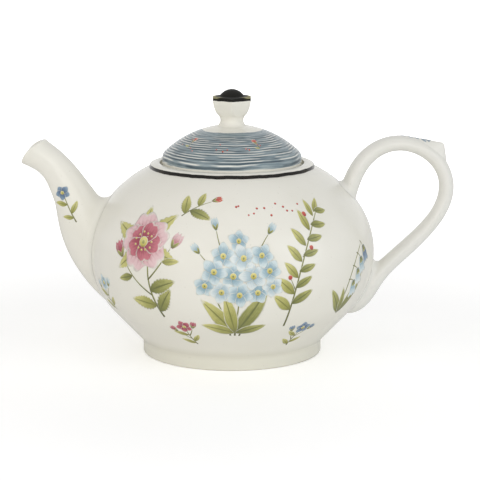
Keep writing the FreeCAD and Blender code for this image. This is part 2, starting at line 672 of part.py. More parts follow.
def handle_strap():
    """The ear-shaped strap with its thumb spur, still reaching into the bowl."""
    body = new_body("HandleStrap")
    upper = (
        ("handle_root_x", "handle_root_z"),
        ("handle_root_x + handle_root_out", "handle_root_z + handle_root_rise"),
        ("handle_crest_x", "handle_crest_z + handle_crest_up"),
        ("handle_crest_x", "handle_crest_z"),
    )
    lower = (
        ("handle_crest_x", "handle_crest_z"),
        ("handle_crest_x", "handle_crest_z - handle_crest_down"),
        ("handle_tail_x + handle_tail_out", "handle_tail_z + handle_tail_rise"),
        ("handle_tail_x", "handle_tail_z"),
    )
    sections = []
    _, turn = curve_point(0, upper)
    root = ("handle_root_x - 0.2*handle_root_out", "handle_root_z - 0.2*handle_root_rise")
    thick, wide = "handle_thick + handle_root_swell", "handle_wide + handle_root_swell"
    sections.append(oval(body, "HandleRoot", root, turn, thick, wide))
    for number, t in enumerate((0, 0.2, 0.4, 0.6, 0.8)):
        point, turn = curve_point(t, upper)
        swell = f"handle_root_swell*{(1 - t) ** 3:.4f}"
        size = (f"handle_thick + {swell}", f"handle_wide + {swell}")
        sections.append(oval(body, f"HandleUpper{number}", point, turn, *size))
    for number, t in enumerate((0, 0.2, 0.4, 0.6, 0.8, 1.0)):
        point, turn = curve_point(t, lower)
        swell = f"handle_tail_swell*{t ** 3:.4f}"
        size = (f"handle_thick + {swell}", f"handle_wide + {swell}")
        sections.append(oval(body, f"HandleLower{number}", point, turn, *size))
    for number, (reach, scale, tuck) in enumerate(((0.08, 0.84, 0.03), (0.15, 0.45, 0.13))):
        tip = (
            f"handle_tail_x - {reach}*handle_tail_out - {tuck}*handle_tail_rise",
            f"handle_tail_z - {reach}*handle_tail_rise + {tuck}*handle_tail_out",
        )
        size = [f"{scale}*({base} + handle_tail_swell)" for base in ("handle_thick", "handle_wide")]
        sections.append(oval(body, f"HandleTail{number}", tip, turn, *size))
    loft(body, "Additive", "HandleSkin", sections)
    point, turn = curve_point(0.72, upper)
    tip = (f"{point[0]} + spur_out", f"{point[1]} + spur_up")
    lean = "atan2(spur_out; spur_up)"
    base = oval(body, "SpurBase", point, lean, "spur_length", "spur_wide")
    point_end = oval(body, "SpurTip", tip, lean, "1.2*spur_tip", "spur_tip")
    loft(body, "Additive", "SpurSkin", [base, point_end])
    return body


def crown_turn():
    """The height of the centre of the lid's crown, its radius and the direction where it starts."""
    curve, rise = value("lid_edge_curve"), value("lid_rise")
    inset = value("lid_radius") - curve
    bend = (inset ** 2 + rise ** 2 - curve ** 2) / (2 * (rise - curve))
    middle = value("crown_height") - bend
    return middle, bend, math.degrees(math.atan2(value("lid_turn") - middle, inset))


def dome_side(outline, corner):
    """Draws the outside of the lid from its edge to the crown and returns its edges."""
    radius, turn, curve = value("lid_radius"), value("lid_turn"), value("lid_edge_curve")
    middle, bend, last = crown_turn()
    side = outline.line((radius, value("lid_seat")), (radius, turn))
    edge_arc = outline.arc((radius - curve, turn), curve, 0, last)
    crown_arc = outline.arc((0, middle), bend, last, 90)
    outline.join(corner, END, side, START)
    outline.rule("Vertical", side)
    outline.up("lid_turn", side, END)
    outline.flow(side, END, edge_arc, START)
    outline.drive("lid_edge_curve", "Radius", edge_arc)
    outline.flow(edge_arc, END, crown_arc, START)
    outline.on_axis(crown_arc, CENTRE)
    outline.on_axis(crown_arc, END)
    outline.up("crown_height", crown_arc, END)
    return edge_arc, crown_arc


def lid_filled():
    """The lid as a full solid, used to trim the knob."""
    body = new_body("LidFilled")
    outline = Outline(body, "LidFilledSketch")
    seat, radius = value("lid_seat"), value("lid_radius")
    base = outline.line((0, seat), (radius, seat))
    outline.rule("Horizontal", base)
    outline.on_axis(base, START)
    outline.up("lid_seat", base, START)
    outline.across("lid_radius", base, END)
    _, crown_arc = dome_side(outline, base)
    axis = outline.line((0, value("crown_height")), (0, seat))
    outline.join(crown_arc, END, axis, START)
    outline.join(axis, END, base, START)
    turned(body, outline, "LidFilledTurn")
    return body


def lid_shell():
    """The hollow dome of the lid on its flat seat."""
    body = new_body("LidShell")
    outline = Outline(body, "LidShellSketch")
    seat, radius, inside = value("lid_seat"), value("lid_radius"), value("flange_inside")
    turn, curve = value("lid_turn"), value("lid_edge_curve")
    wall, crown = value("lid_wall"), value("crown_height")
    base = outline.line((inside, seat), (radius, seat))
    outline.rule("Horizontal", base)
    outline.up("lid_seat", base, START)
    outline.across("flange_inside", base, START)
    outline.across("lid_radius", base, END)
    edge_arc, crown_arc = dome_side(outline, base)
    axis = outline.line((0, crown), (0, crown - wall))
    middle, bend, last = crown_turn()
    inner_crown = outline.arc((0, middle), bend - wall, last, 90)
    inner_edge = outline.arc((radius - curve, turn), curve - wall, 0, last)
    slant = outline.line((radius - wall, turn), (inside, seat))
    outline.join(crown_arc, END, axis, START)
    outline.on_axis(axis, END)
    outline.up("crown_height - lid_wall", axis, END)
    outline.join(axis, END, inner_crown, END)
    outline.join(inner_crown, CENTRE, crown_arc, CENTRE)
    outline.flow(inner_crown, START, inner_edge, END)
    outline.join(inner_edge, CENTRE, edge_arc, CENTRE)
    outline.rule("Horizontal", inner_edge, CENTRE, inner_edge, START)
    outline.join(inner_edge, START, slant, START)
    outline.join(slant, END, base, START)
    turned(body, outline, "LidShellTurn")
    return body


def lid_flange():
    """The ring under the lid that drops into the throat."""
    body = new_body("LidFlange")
    outline = Outline(body, "LidFlangeSketch")
    inner, outer, ease = value("flange_inside"), value("flange_radius"), value("flange_round")
    top = value("lid_seat")
    low = top - value("flange_depth")
    sole = outline.line((inner + ease, low), (outer - ease, low))
    outer_ease = outline.arc((outer - ease, low + ease), ease, 270, 360)
    side = outline.line((outer, low + ease), (outer, top))
    cover = outline.line((outer, top), (inner, top))
    back = outline.line((inner, top), (inner, low + ease))
    inner_ease = outline.arc((inner + ease, low + ease), ease, 180, 270)
    outline.up("lid_seat - flange_depth", sole, START)
    outline.rule("Horizontal", sole)
    outline.flow(sole, END, outer_ease, START)
    outline.flow(outer_ease, END, side, START)
    outline.rule("Vertical", side)
    outline.join(side, END, cover, START)
    outline.rule("Horizontal", cover)
    outline.join(cover, END, back, START)
    outline.rule("Vertical", back)
    outline.flow(back, END, inner_ease, START)
    outline.flow(inner_ease, END, sole, START)
    outline.drive("flange_round", "Radius", outer_ease)
    outline.drive("flange_round", "Radius", inner_ease)
    outline.across("flange_radius", cover, START)
    outline.up("lid_seat", cover, START)
    outline.across("flange_inside", cover, END)
    turned(body, outline, "LidFlangeTurn")
    return body


def cup_side(outline, edge):
    """Draws the knob's side from its neck out to an edge at the brim and returns its hollow and its cup."""
    neck, hollow_bend = value("knob_neck"), value("knob_hollow")
    waist = value("crown_height") + value("knob_neck_rise")
    brim_z = value("crown_height") + value("knob_brim_rise")
    spread, climb = edge - neck, brim_z - waist
    both = (spread ** 2 + climb ** 2) / (2 * spread)
    turn = math.degrees(math.atan2(climb, both - spread))
    cup_bend = both - hollow_bend
    hollow = outline.arc((neck + hollow_bend, waist), hollow_bend, 180 - turn, 180)
    cup = outline.arc((edge - cup_bend, brim_z), cup_bend, -turn, 0)
    outline.drive("knob_hollow", "Radius", hollow)
    outline.flow(hollow, START, cup, START)
    outline.up("crown_height + knob_brim_rise", cup, END)
    outline.rule("Horizontal", cup, CENTRE, cup, END)
    return hollow, cup


def knob_stem():
    """The flared knob: a turned cup with a domed top, faceted into a hexagon towards its brim."""
    body = new_body("KnobStem")
    outline = Outline(body, "KnobSketch")
    crown, base, neck = value("crown_height"), value("knob_base"), value("knob_neck")
    waist = crown + value("knob_neck_rise")
    brim, brim_z = value("knob_brim"), crown + value("knob_brim_rise")
    cap, cap_z = value("knob_cap"), crown + value("knob_cap_rise")
    sunk, skirt_z = crown - value("knob_sink"), crown - value("knob_skirt")
    edge_z = brim_z + value("knob_edge")
    top = crown + value("knob_top_rise")
    foot = outline.line((0, sunk), (base, sunk))
    skirt = outline.line((base, sunk), (base, skirt_z))
    flare = outline.arc((1.5 * neck, waist), 0.5 * neck, 180, 250)
    hollow, cup = cup_side(outline, brim)
    edge = outline.line((brim, brim_z), (brim, edge_z))
    slope = outline.arc((0.2 * brim, edge_z - brim), 1.2 * brim, 50, 70)
    dome = outline.arc((0, cap_z - 0.7 * cap), 1.2 * cap, 36, 90)
    axis = outline.line((0, top), (0, sunk))
    outline.rule("Horizontal", foot)
    outline.on_axis(foot, START)
    outline.up("crown_height - knob_sink", foot, START)
    outline.across("knob_base", foot, END)
    outline.join(foot, END, skirt, START)
    outline.rule("Vertical", skirt)
    outline.up("crown_height - knob_skirt", skirt, END)
    outline.join(skirt, END, flare, END)
    outline.up("crown_height + knob_neck_rise", flare, CENTRE)
    outline.across("knob_neck", flare, START)
    outline.flow(flare, START, hollow, END)
    outline.rule("Horizontal", flare, CENTRE, flare, START)
    outline.across("knob_brim", cup, END)
    outline.join(cup, END, edge, START)
    outline.rule("Vertical", edge)
    outline.up("crown_height + knob_brim_rise + knob_edge", edge, END)
    outline.join(edge, END, slope, START)
    outline.across("knob_cap", slope, END)
    outline.up("crown_height + knob_cap_rise", slope, END)
    outline.drive("1.2*knob_brim", "Radius", slope)
    outline.join(slope, END, dome, START)
    outline.on_axis(dome, CENTRE)
    outline.on_axis(dome, END)
    outline.up("crown_height + knob_top_rise", dome, END)
    outline.join(dome, END, axis, START)
    outline.join(axis, END, foot, START)
    turned(body, outline, "KnobTurn")
    facet = Outline(body, "FacetSketch")
    flat = value("knob_facet")
    hollow, cup = cup_side(facet, flat)
    stand = facet.line((flat, brim_z), (flat, top))
    over = facet.line((flat, top), (2 * brim, top))
    down = facet.line((2 * brim, top), (2 * brim, waist))
    back = facet.line((2 * brim, waist), (neck, waist))
    facet.up("crown_height + knob_neck_rise", hollow, CENTRE)
    facet.across("knob_neck", hollow, END)
    facet.rule("Horizontal", hollow, CENTRE, hollow, END)
    facet.across("knob_facet", cup, END)
    facet.join(cup, END, stand, START)
    facet.rule("Vertical", stand)
    facet.up("crown_height + knob_top_rise", stand, END)
    facet.join(stand, END, over, START)
    facet.rule("Horizontal", over)
    facet.across("2*knob_brim", over, END)
    facet.join(over, END, down, START)
    facet.rule("Vertical", down)
    facet.join(down, END, back, START)
    facet.rule("Horizontal", back)
    facet.join(back, END, hollow, END)
    DOC.recompute()
    pocket = body.newObject("PartDesign::Pocket", "Facet")
    pocket.Profile = facet.sketch
    pocket.setExpression("Length", tie("4*knob_brim"))
    pocket.Midplane = True
    facet.sketch.Visibility = False
    DOC.recompute()
    pattern = body.newObject("PartDesign::PolarPattern", "Facets")
    pattern.Originals = [pocket]
    pattern.Axis = (facet.sketch, ["V_Axis"])
    pattern.Angle = 360
    pattern.Occurrences = 6
    body.Tip = pattern
    DOC.recompute()
    return body


def spout():
    """The spout luted to the bowl, bored through, with an eased lip."""
    tube = boolean("Part::Cut", "SpoutTube", luted("SpoutPiece", SPOUT, "spout_blend"), BORE)
    DOC.recompute()
    return eased("Spout", tube, "mouth_ease", on_lip)


FILLED = bowl_filled()
SKIN = DOC.addObject("Part::Offset", "BowlSkin")
SKIN.Source = FILLED
SKIN.setExpression("Value", tie("slip_edge"))
WALL = bowl_wall()
PORT = cylinder("Port", "port_radius", "belly_radius + spout_reach", z="port_height", tilt=-90)
SPOUT, BORE = spout_solids()
DOME = lid_filled()
PLUG = boolean("Part::Common", "StrainerPlug", WALL, PORT)
VENT = cylinder("Vent", "vent_radius", "2*lid_rise", y="vent_offset", z="lid_turn")

NODES = {
    "pot_body": boolean("Part::Cut", "PotBody", WALL, PORT),
    "foot_ring": foot_ring(),
    "spout": spout(),
    "spout_strainer": boolean("Part::Cut", "SpoutStrainer", PLUG, strainer_pins()),
    "handle": luted("Handle", handle_strap(), "handle_blend"),
    "lid_dome": boolean("Part::Cut", "LidDome", lid_shell(), VENT),
    "lid_flange": lid_flange(),
    "knob": boolean("Part::Cut", "Knob", knob_stem(), DOME),
}
DOC.recompute()

for item in DOC.Objects:
    if "Invalid" in item.State or "Error" in item.State:
        raise RuntimeError(f"{item.Name} did not recompute: {item.State}")
os.makedirs("parts", exist_ok=True)
for node, item in NODES.items():
    shape = item.Shape
    if shape.isNull() or not shape.isValid() or len(shape.Solids) != 1:
        raise RuntimeError(f"{node} is not one valid solid")
    shape.exportStep(f"parts/{node}.step")
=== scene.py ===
"""A glazed teapot with a lift-off lid: solids in their glazes, printed sprays and a pale studio."""

import logging
import math
import random
from dataclasses import dataclass, field
from enum import Enum
from functools import partial, reduce
from typing import Callable, NamedTuple, Optional, Union

import bmesh
import bpy
from mathutils import Matrix, Vector
from mathutils.bvhtree import BVHTree


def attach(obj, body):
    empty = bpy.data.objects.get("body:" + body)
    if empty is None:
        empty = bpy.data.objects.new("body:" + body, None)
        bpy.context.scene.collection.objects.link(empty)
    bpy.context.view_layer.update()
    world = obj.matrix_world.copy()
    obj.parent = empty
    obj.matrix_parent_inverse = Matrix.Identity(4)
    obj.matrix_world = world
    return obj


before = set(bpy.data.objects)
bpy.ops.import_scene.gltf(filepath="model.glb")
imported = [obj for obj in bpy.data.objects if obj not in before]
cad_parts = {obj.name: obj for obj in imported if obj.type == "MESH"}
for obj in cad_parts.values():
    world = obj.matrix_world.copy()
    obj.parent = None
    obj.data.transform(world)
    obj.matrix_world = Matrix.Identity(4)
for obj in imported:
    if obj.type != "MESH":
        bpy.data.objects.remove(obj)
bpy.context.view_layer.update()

LOG = logging.getLogger("teapot")
MM = 0.001
RAY_START = 0.3
ORIGIN = (0.0, 0.0, 0.0)
DOWN = Vector((0.0, 0.0, -1.0))

Colour = tuple[float, float, float, float]
Triple = tuple[float, float, float]
Point = tuple[float, float]
Socket = bpy.types.NodeSocket
Sockets = dict[str, Socket]
Value = Union[Socket, float, Colour]
Curve = Callable[[float], float]
Stem = Callable[..., tuple[Point, float]]


def paint(red: int, green: int, blue: int) -> Colour:
    """A paint card's colour as the linear colour that a socket takes.

    Args:
        red: its red, 0 to 255.
        green: its green.
        blue: its blue.

    Returns:
        The linear colour.
    """
    def linear(level: int) -> float:
        """One channel with its display curve taken off."""
        share = level / 255.0
        return share / 12.92 if share <= 0.04045 else ((share + 0.055) / 1.055) ** 2.4

    return (linear(red), linear(green), linear(blue), 1.0)


def placed(at: Point, turn: float) -> Matrix:
    """A place on the flat print, turned by degrees anticlockwise."""
    return Matrix.Translation((*at, 0.0)) @ Matrix.Rotation(math.radians(turn), 4, "Z")


class Wiring:
    """A node tree with short calls for the nodes that the glazes are wired from."""

    def __init__(self, tree: bpy.types.NodeTree) -> None:
        """Keeps the tree and empties it."""
        self.tree = tree
        tree.nodes.clear()

    def node(self, kind: str, **settings: object) -> bpy.types.Node:
        """Adds a node.

        Args:
            kind: the node's type name.
            settings: properties to set on it.

        Returns:
            The new node.
        """
        made = self.tree.nodes.new(kind)
        for name, value in settings.items():
            setattr(made, name, value)
        return made

    def feed(self, socket: Socket, value: Value) -> None:
        """Links a socket to another one, or sets its plain value.

        Args:
            socket: what is fed.
            value: the other socket, or the plain value.
        """
        if isinstance(value, Socket):
            self.tree.links.new(value, socket)
        else:
            socket.default_value = value

    def supply(self, made: bpy.types.Node, values: dict[Union[int, str], Value]) -> bpy.types.Node:
        """Feeds the inputs of a node.

        Args:
            made: the node.
            values: what the inputs take, by their names or by their places.

        Returns:
            The same node.
        """
        for end, value in values.items():
            self.feed(made.inputs[end], value)
        return made

    def math(self, kind: str, *values: Value) -> Socket:
        """One sum of up to three terms, by its operation's name."""
        made = self.node("ShaderNodeMath", operation=kind)
        return self.supply(made, dict(enumerate(values))).outputs[0]

    def times(self, *values: Value) -> Socket:
        """The product of two values or more."""
        return reduce(partial(self.math, "MULTIPLY"), values)

    def linear(self, value: Value, slope: Value, start: Value) -> Socket:
        """A value times a slope, plus a start."""
        return self.math("MULTIPLY_ADD", value, slope, start)

    def radius(self, x: Value, y: Value) -> Socket:
        """How far a point lies from the pot's axis."""
        return self.math("SQRT", self.math("ADD", self.times(x, x), self.times(y, y)))

    def step(self, value: Value, low: float, high: float) -> Socket:
        """A soft step that is 0 at low and 1 at high, which may lie below low."""
        made = self.node("ShaderNodeMapRange", interpolation_type="SMOOTHSTEP")
        return self.supply(made, {0: value, 1: low, 2: high}).outputs[0]

    def edge(self, value: Value, at: float, soft: float) -> Socket:
        """A soft step about one value, falling where its half width is below 0."""
        return self.step(value, at - soft, at + soft)

    def mix(self, share: Value, first: Value, second: Value) -> Socket:
        """Two colours mixed by a share of the second."""
        made = self.node("ShaderNodeMix", data_type="RGBA")
        return self.supply(made, {0: share, 6: first, 7: second}).outputs[2]

    def noise(self, vector: Value, scale: float, detail: float = 2.0) -> Socket:
        """A cloud of values about one half, with scale waves to a unit and detail finer clouds."""
        made = self.node("ShaderNodeTexNoise")
        return self.supply(made, {"Vector": vector, "Scale": scale, "Detail": detail}).outputs["Fac"]

    def unsteady(self, place: Value, scale: float, spread: float) -> Socket:
        """Small shifts about 0, as a hand makes them, over a range of spread."""
        return self.linear(self.noise(place, scale), spread, -spread / 2.0)

    def vector(self, *values: Value) -> Socket:
        """Three values as one vector."""
        return self.supply(self.node("ShaderNodeCombineXYZ"), dict(enumerate(values))).outputs[0]

    def place(self) -> Socket:
        """Where a point lies on the pot, in metres."""
        return self.node("ShaderNodeTexCoord").outputs["Object"]

    def split(self, vector: Value) -> list[Socket]:
        """The three values of a vector."""
        return list(self.supply(self.node("ShaderNodeSeparateXYZ"), {0: vector}).outputs)

    def length(self, vector: Value) -> Socket:
        """The length of a vector."""
        made = self.node("ShaderNodeVectorMath", operation="LENGTH")
        return self.supply(made, {0: vector}).outputs["Value"]

    def group(self, tree: bpy.types.NodeTree, **values: Value) -> Sockets:
        """Places a node group, feeds its named inputs and gives its outputs by name."""
        return by_name(self.supply(self.node("ShaderNodeGroup", node_tree=tree), values).outputs)


def by_name(sockets: bpy.types.bpy_prop_collection) -> Sockets:
    """The named sockets of one side of a node."""
    return {socket.name: socket for socket in sockets if socket.name}


class SocketKind(Enum):
    """What a group's socket carries."""

    COLOUR = "NodeSocketColor"
    NUMBER = "NodeSocketFloat"


COLOUR_ENDS = {"Tone", "Deep", "Pale", "Middle", "Colour"}


def new_group(name: str, takes: str, gives: str) -> tuple[Wiring, Sockets, Sockets]:
    """Opens a shader node group.

    Args:
        name: the group's name.
        takes: the names of its inputs.
        gives: the names of its outputs.

    Returns:
        Its wiring, its inputs' sockets and its outputs' sockets.
    """
    tree = bpy.data.node_groups.new(name, "ShaderNodeTree")
    for side, names in (("INPUT", takes), ("OUTPUT", gives)):
        for end in names.split():
            kind = SocketKind.COLOUR if end in COLOUR_ENDS else SocketKind.NUMBER
            tree.interface.new_socket(name=end, in_out=side, socket_type=kind.value)
    wires = Wiring(tree)
    start = wires.node("NodeGroupInput")
    end = wires.node("NodeGroupOutput")
    return wires, by_name(start.outputs), by_name(end.inputs)


class Effects:
    """The shader groups that the finishes share."""

    def __init__(self) -> None:
        """Builds each group once."""
        self.skin = self.build_skin()
        self.wash = self.build_wash()
        self.bands = self.build_bands()

    def build_skin(self) -> bpy.types.NodeTree:
        """Clear glaze over a white body: clouds of tone, a deeper tone low down that is partly glaze pooled
        at the foot and partly painted shade, fine specks and ripples.

        Returns:
            The group's tree.
        """
        cloud_share, pooled_shade_share, speck_share, peel_share = 0.35, 0.95, 0.22, 0.07
        pooled_shade_top, pooled_shade_foot = 14.5 * MM, 7.5 * MM
        speck = paint(150, 142, 122)
        wires, takes, gives = new_group("GlazeSkin", "Tone Deep Gloss", "Colour Roughness Height")
        place = wires.place()
        height = wires.split(place)[2]
        clouds = wires.step(wires.noise(place, scale=24.0, detail=3.0), low=0.38, high=0.72)
        # Deeper tone below 14.5 mm, full by 7.5 mm: partly glaze pooled at the foot, partly painted shade
        # under the belly.
        pooled_glaze_and_shade = wires.step(height, low=pooled_shade_top, high=pooled_shade_foot)
        deepened = wires.math("MAXIMUM", wires.times(clouds, cloud_share), wires.times(pooled_glaze_and_shade, pooled_shade_share))
        glazed = wires.mix(deepened, takes["Tone"], takes["Deep"])
        specks = wires.step(wires.noise(place, scale=900.0, detail=1.0), low=0.73, high=0.80)
        wires.feed(gives["Colour"], wires.mix(wires.times(specks, speck_share), glazed, speck))
        haze = wires.unsteady(place, scale=55.0, spread=0.10)
        wires.feed(gives["Roughness"], wires.math("ADD", takes["Gloss"], haze))
        ripples = wires.noise(place, scale=60.0, detail=1.0)
        peel = wires.noise(place, scale=380.0, detail=1.0)
        wires.feed(gives["Height"], wires.math("ADD", ripples, wires.times(peel, peel_share)))
        return wires.tree

    def build_wash(self) -> bpy.types.NodeTree:
        """Enamel laid on in one stroke: thin at its edges, deeper at its foot, veined and clouded.

        Returns:
            The group's tree.
        """
        tip_share, foot_share, thread_turns = 0.7, 0.75, 34.0
        edge_cloud, fall_cloud, thread_cloud = 0.10, 0.5, 2.0
        wires, takes, gives = new_group("EnamelWash", "Pale Middle Deep Veins Rib Body", "Colour Cover")
        across, up, _ = wires.split(wires.node("ShaderNodeUVMap", uv_map="UVMap").outputs[0])
        cloud = wires.noise(wires.place(), scale=420.0, detail=3.0)
        side = wires.math("MINIMUM", across, wires.math("SUBTRACT", 1.0, across))
        tip = wires.times(wires.math("SUBTRACT", 1.0, up), tip_share)
        grown = wires.linear(cloud, edge_cloud, wires.math("MINIMUM", side, tip))
        wires.feed(gives["Cover"], wires.times(wires.step(grown, low=0.035, high=0.15), takes["Body"]))
        fall = wires.linear(cloud, fall_cloud, wires.linear(up, slope=0.9, start=-0.2))
        paled = wires.mix(wires.step(fall, low=0.30, high=0.80), takes["Middle"], takes["Pale"])
        spread = wires.math("SUBTRACT", across, 0.5)
        fan = wires.math("DIVIDE", spread, wires.linear(up, slope=0.6, start=0.4))
        threads = wires.math("SINE", wires.linear(cloud, thread_cloud, wires.times(fan, thread_turns)))
        fading = wires.step(up, low=0.95, high=0.25)
        veins = wires.times(wires.step(threads, low=0.25, high=0.95), takes["Veins"], fading)
        rib = wires.times(wires.step(wires.math("ABSOLUTE", spread), low=0.09, high=0.03), takes["Rib"])
        foot = wires.times(wires.step(up, low=0.34, high=0.02), foot_share)
        lined = wires.math("MAXIMUM", foot, wires.math("MAXIMUM", veins, rib))
        wires.feed(gives["Colour"], wires.mix(lined, paled, takes["Deep"]))
        return wires.tree

    def build_bands(self) -> bpy.types.NodeTree:
        """Brush lines round the lid: a streaked field with thin dark and bare lines that come and go.

        Returns:
            The group's tree.
        """
        waver_rise, waver_width, fall = 45.0, 2.6 * MM, -0.6
        line_step, streak_rise = 3.7, 1500.0
        wires, takes, gives = new_group("BrushBands", "Inner Pitch", "Field Dark Bare Cover")
        x, y, z = wires.split(wires.place())
        radius = wires.math("MAXIMUM", wires.radius(x, y), 1.0 * MM)
        east = wires.math("DIVIDE", x, radius)
        north = wires.math("DIVIDE", y, radius)
        slow = wires.vector(east, north, wires.times(radius, waver_rise))
        waver = wires.math("SUBTRACT", wires.noise(slow, scale=1.5), 0.5)
        drawn = wires.linear(waver, waver_width, radius)
        fallen = wires.linear(z, fall, drawn)
        turns = wires.math("DIVIDE", fallen, takes["Pitch"])
        aside = wires.math("ABSOLUTE", wires.math("SUBTRACT", wires.math("FRACT", turns), 0.5))

        def ring(spread: float, rise: Value) -> Socket:
            """A place that runs round the lid, so that a cloud read there has no seam."""
            return wires.vector(wires.times(east, spread), wires.times(north, spread), rise)

        def stretches(line: Value, spread: float, low: float, high: float) -> Socket:
            """How strongly a numbered line is drawn, in a few stretches round the lid."""
            return wires.step(wires.noise(ring(spread, wires.times(line, line_step)), scale=1.0), low, high)

        begun = wires.step(radius, low=20.0 * MM, high=24.0 * MM)
        dark = stretches(wires.math("FLOOR", turns), spread=1.7, low=0.36, high=0.58)
        wires.feed(gives["Dark"], wires.times(wires.step(aside, low=0.30, high=0.10), dark, begun))
        bare = stretches(wires.math("ROUND", turns), spread=2.1, low=0.40, high=0.58)
        wires.feed(gives["Bare"], wires.times(wires.step(aside, low=0.29, high=0.43), bare, begun))
        streak = wires.noise(ring(3.0, wires.times(fallen, streak_rise)), scale=1.0, detail=3.0)
        wires.feed(gives["Field"], wires.step(streak, low=0.30, high=0.72))
        wires.feed(gives["Cover"], wires.math("GREATER_THAN", drawn, takes["Inner"]))
        return wires.tree


@dataclass(frozen=True)
class Glaze:
    """A clear glaze over the white body of one part of the pot."""

    name: str
    tone: Colour = paint(240, 238, 229)
    deep: Colour = paint(229, 227, 214)
    gloss: float = 0.17
    shine: float = 0.3
    ripple: float = 0.07 * MM
    ripple_share: float = 0.8

    def make(self, effects: Effects) -> bpy.types.Material:
        """Builds the material.

        Args:
            effects: the shared shader groups.

        Returns:
            The glaze with its decoration.
        """
        material = bpy.data.materials.new(self.name)
        material.use_nodes = True
        wires = Wiring(material.node_tree)
        end = wires.node("ShaderNodeOutputMaterial")
        shader = wires.node("ShaderNodeBsdfPrincipled")
        wires.feed(end.inputs["Surface"], shader.outputs[0])
        skin = wires.group(effects.skin, Tone=self.tone, Deep=self.deep, Gloss=self.gloss)
        bump = wires.node("ShaderNodeBump")
        wires.supply(bump, {"Strength": self.ripple_share, "Distance": self.ripple, "Height": skin["Height"]})
        plain = {
            "Base Color": skin["Colour"],
            "Roughness": skin["Roughness"],
            "Normal": bump.outputs[0],
            "Specular IOR Level": self.shine,
        }
        wires.supply(shader, plain | self.decorate(wires, skin, effects))
        return material

    def decorate(self, wires: Wiring, skin: Sockets, effects: Effects) -> Sockets:
        """What the decoration feeds to the surface in place of the plain skin.

        Args:
            wires: the material's wiring.
            skin: the outputs of the plain skin.
            effects: the shared shader groups.

        Returns:
            Sockets by the names of the shader's inputs, none for a plain glaze.
        """
        return {}


@dataclass(frozen=True)
class RimGlaze(Glaze):
    """The bowl's glaze with the dark line that is turned on its rim."""

    line: Colour = paint(17, 14, 11)
    worn_line: Colour = paint(30, 24, 19)
    line_foot: float = 110.35 * MM
    line_top: float = 112.3 * MM
    line_inside: float = 47.2 * MM
    soft: float = 0.06 * MM

    def decorate(self, wires: Wiring, skin: Sockets, effects: Effects) -> Sockets:
        """Turns the line on the rim, a little worn."""
        place = wires.place()
        x, y, z = wires.split(place)
        level = wires.math("ADD", z, wires.unsteady(place, scale=130.0, spread=0.6 * MM))
        above = wires.edge(level, self.line_foot, self.soft)
        below = wires.edge(level, self.line_top, -self.soft)
        outside = wires.edge(wires.radius(x, y), self.line_inside, 0.1 * MM)
        wear = wires.step(wires.noise(place, scale=260.0, detail=3.0), low=0.40, high=0.75)
        line = wires.mix(wear, self.line, self.worn_line)
        return {"Base Color": wires.mix(wires.times(above, below, outside), skin["Colour"], line)}


@dataclass(frozen=True)
class BandedGlaze(Glaze):
    """The lid's glaze with its brush lines, on the outside only."""

    field_pale: Colour = paint(158, 171, 176)
    field_deep: Colour = paint(108, 127, 135)
    dark: Colour = paint(54, 69, 80)
    line_share: float = 0.85
    inner: float = 17.5 * MM
    pitch: float = 2.1 * MM
    foot: float = 113.9 * MM
    crown_centre: float = 77.9 * MM
    crown_inside: float = 54.2 * MM

    def decorate(self, wires: Wiring, skin: Sockets, effects: Effects) -> Sockets:
        """Brushes the lines between the crown's bare middle and the lid's edge."""
        place = wires.place()
        x, y, z = wires.split(place)
        bands = wires.group(effects.bands, Inner=self.inner, Pitch=self.pitch)
        brushed = wires.mix(bands["Field"], self.field_deep, self.field_pale)
        darkened = wires.mix(wires.times(bands["Dark"], self.line_share), brushed, self.dark)
        bared = wires.mix(wires.times(bands["Bare"], self.line_share), darkened, skin["Colour"])
        level = wires.math("ADD", z, wires.unsteady(place, scale=70.0, spread=1.2 * MM))
        upper = wires.edge(level, self.foot, 0.1 * MM)
        reach = wires.length(wires.vector(x, y, wires.math("SUBTRACT", z, self.crown_centre)))
        outside = wires.math("GREATER_THAN", reach, self.crown_inside)
        cover = wires.times(bands["Cover"], upper, outside)
        return {"Base Color": wires.mix(cover, skin["Colour"], bared)}


@dataclass(frozen=True)
class CappedGlaze(Glaze):
    """The knob's glaze: a white cup, a dark brim and dome, and gilt on the brim's two side ends only: the
    gilt is real, its limit to the sides, where it catches the light, is painted reflection.
    """

    cap: Colour = paint(22, 22, 19)
    cap_pale: Colour = paint(37, 37, 34)
    gilt: Colour = paint(154, 149, 110)
    gilt_worn: Colour = paint(112, 107, 74)
    gilt_metal: float = 0.25
    satin: float = 0.35
    line_foot: float = 149.75 * MM
    face_foot: float = 151.05 * MM
    dome_radius: float = 9.6 * MM
    glint_reach: float = 9.0 * MM
    glint_fade: float = 2.0 * MM

    def decorate(self, wires: Wiring, skin: Sockets, effects: Effects) -> Sockets:
        """Inks the brim and the dome and gilds the brim's two ends."""
        place = wires.place()
        x, y, z = wires.split(place)
        shift = wires.unsteady(place, scale=240.0, spread=0.7 * MM)
        line = wires.edge(wires.math("ADD", z, shift), self.line_foot, 0.08 * MM)
        face = wires.edge(z, self.face_foot, 0.05 * MM)
        ring = wires.edge(wires.math("ADD", wires.radius(x, y), shift), self.dome_radius, 0.15 * MM)
        # Gilt only where |y| is small, at the brim's two side ends, and gone at front and back: painted
        # reflection where the gilt catches the light.
        glint_sides = wires.step(wires.math("ABSOLUTE", y), self.glint_reach, self.glint_reach - self.glint_fade)
        gilt = wires.times(face, ring, glint_sides)
        wear = wires.step(wires.noise(place, scale=520.0, detail=3.0), low=0.42, high=0.70)
        inky = wires.mix(wires.noise(place, scale=190.0), self.cap, self.cap_pale)
        inked = wires.mix(line, skin["Colour"], inky)
        return {
            "Base Color": wires.mix(gilt, inked, wires.mix(wear, self.gilt, self.gilt_worn)),
            "Metallic": wires.times(gilt, self.gilt_metal),
            "Roughness": wires.linear(line, self.satin, skin["Roughness"]),
        }


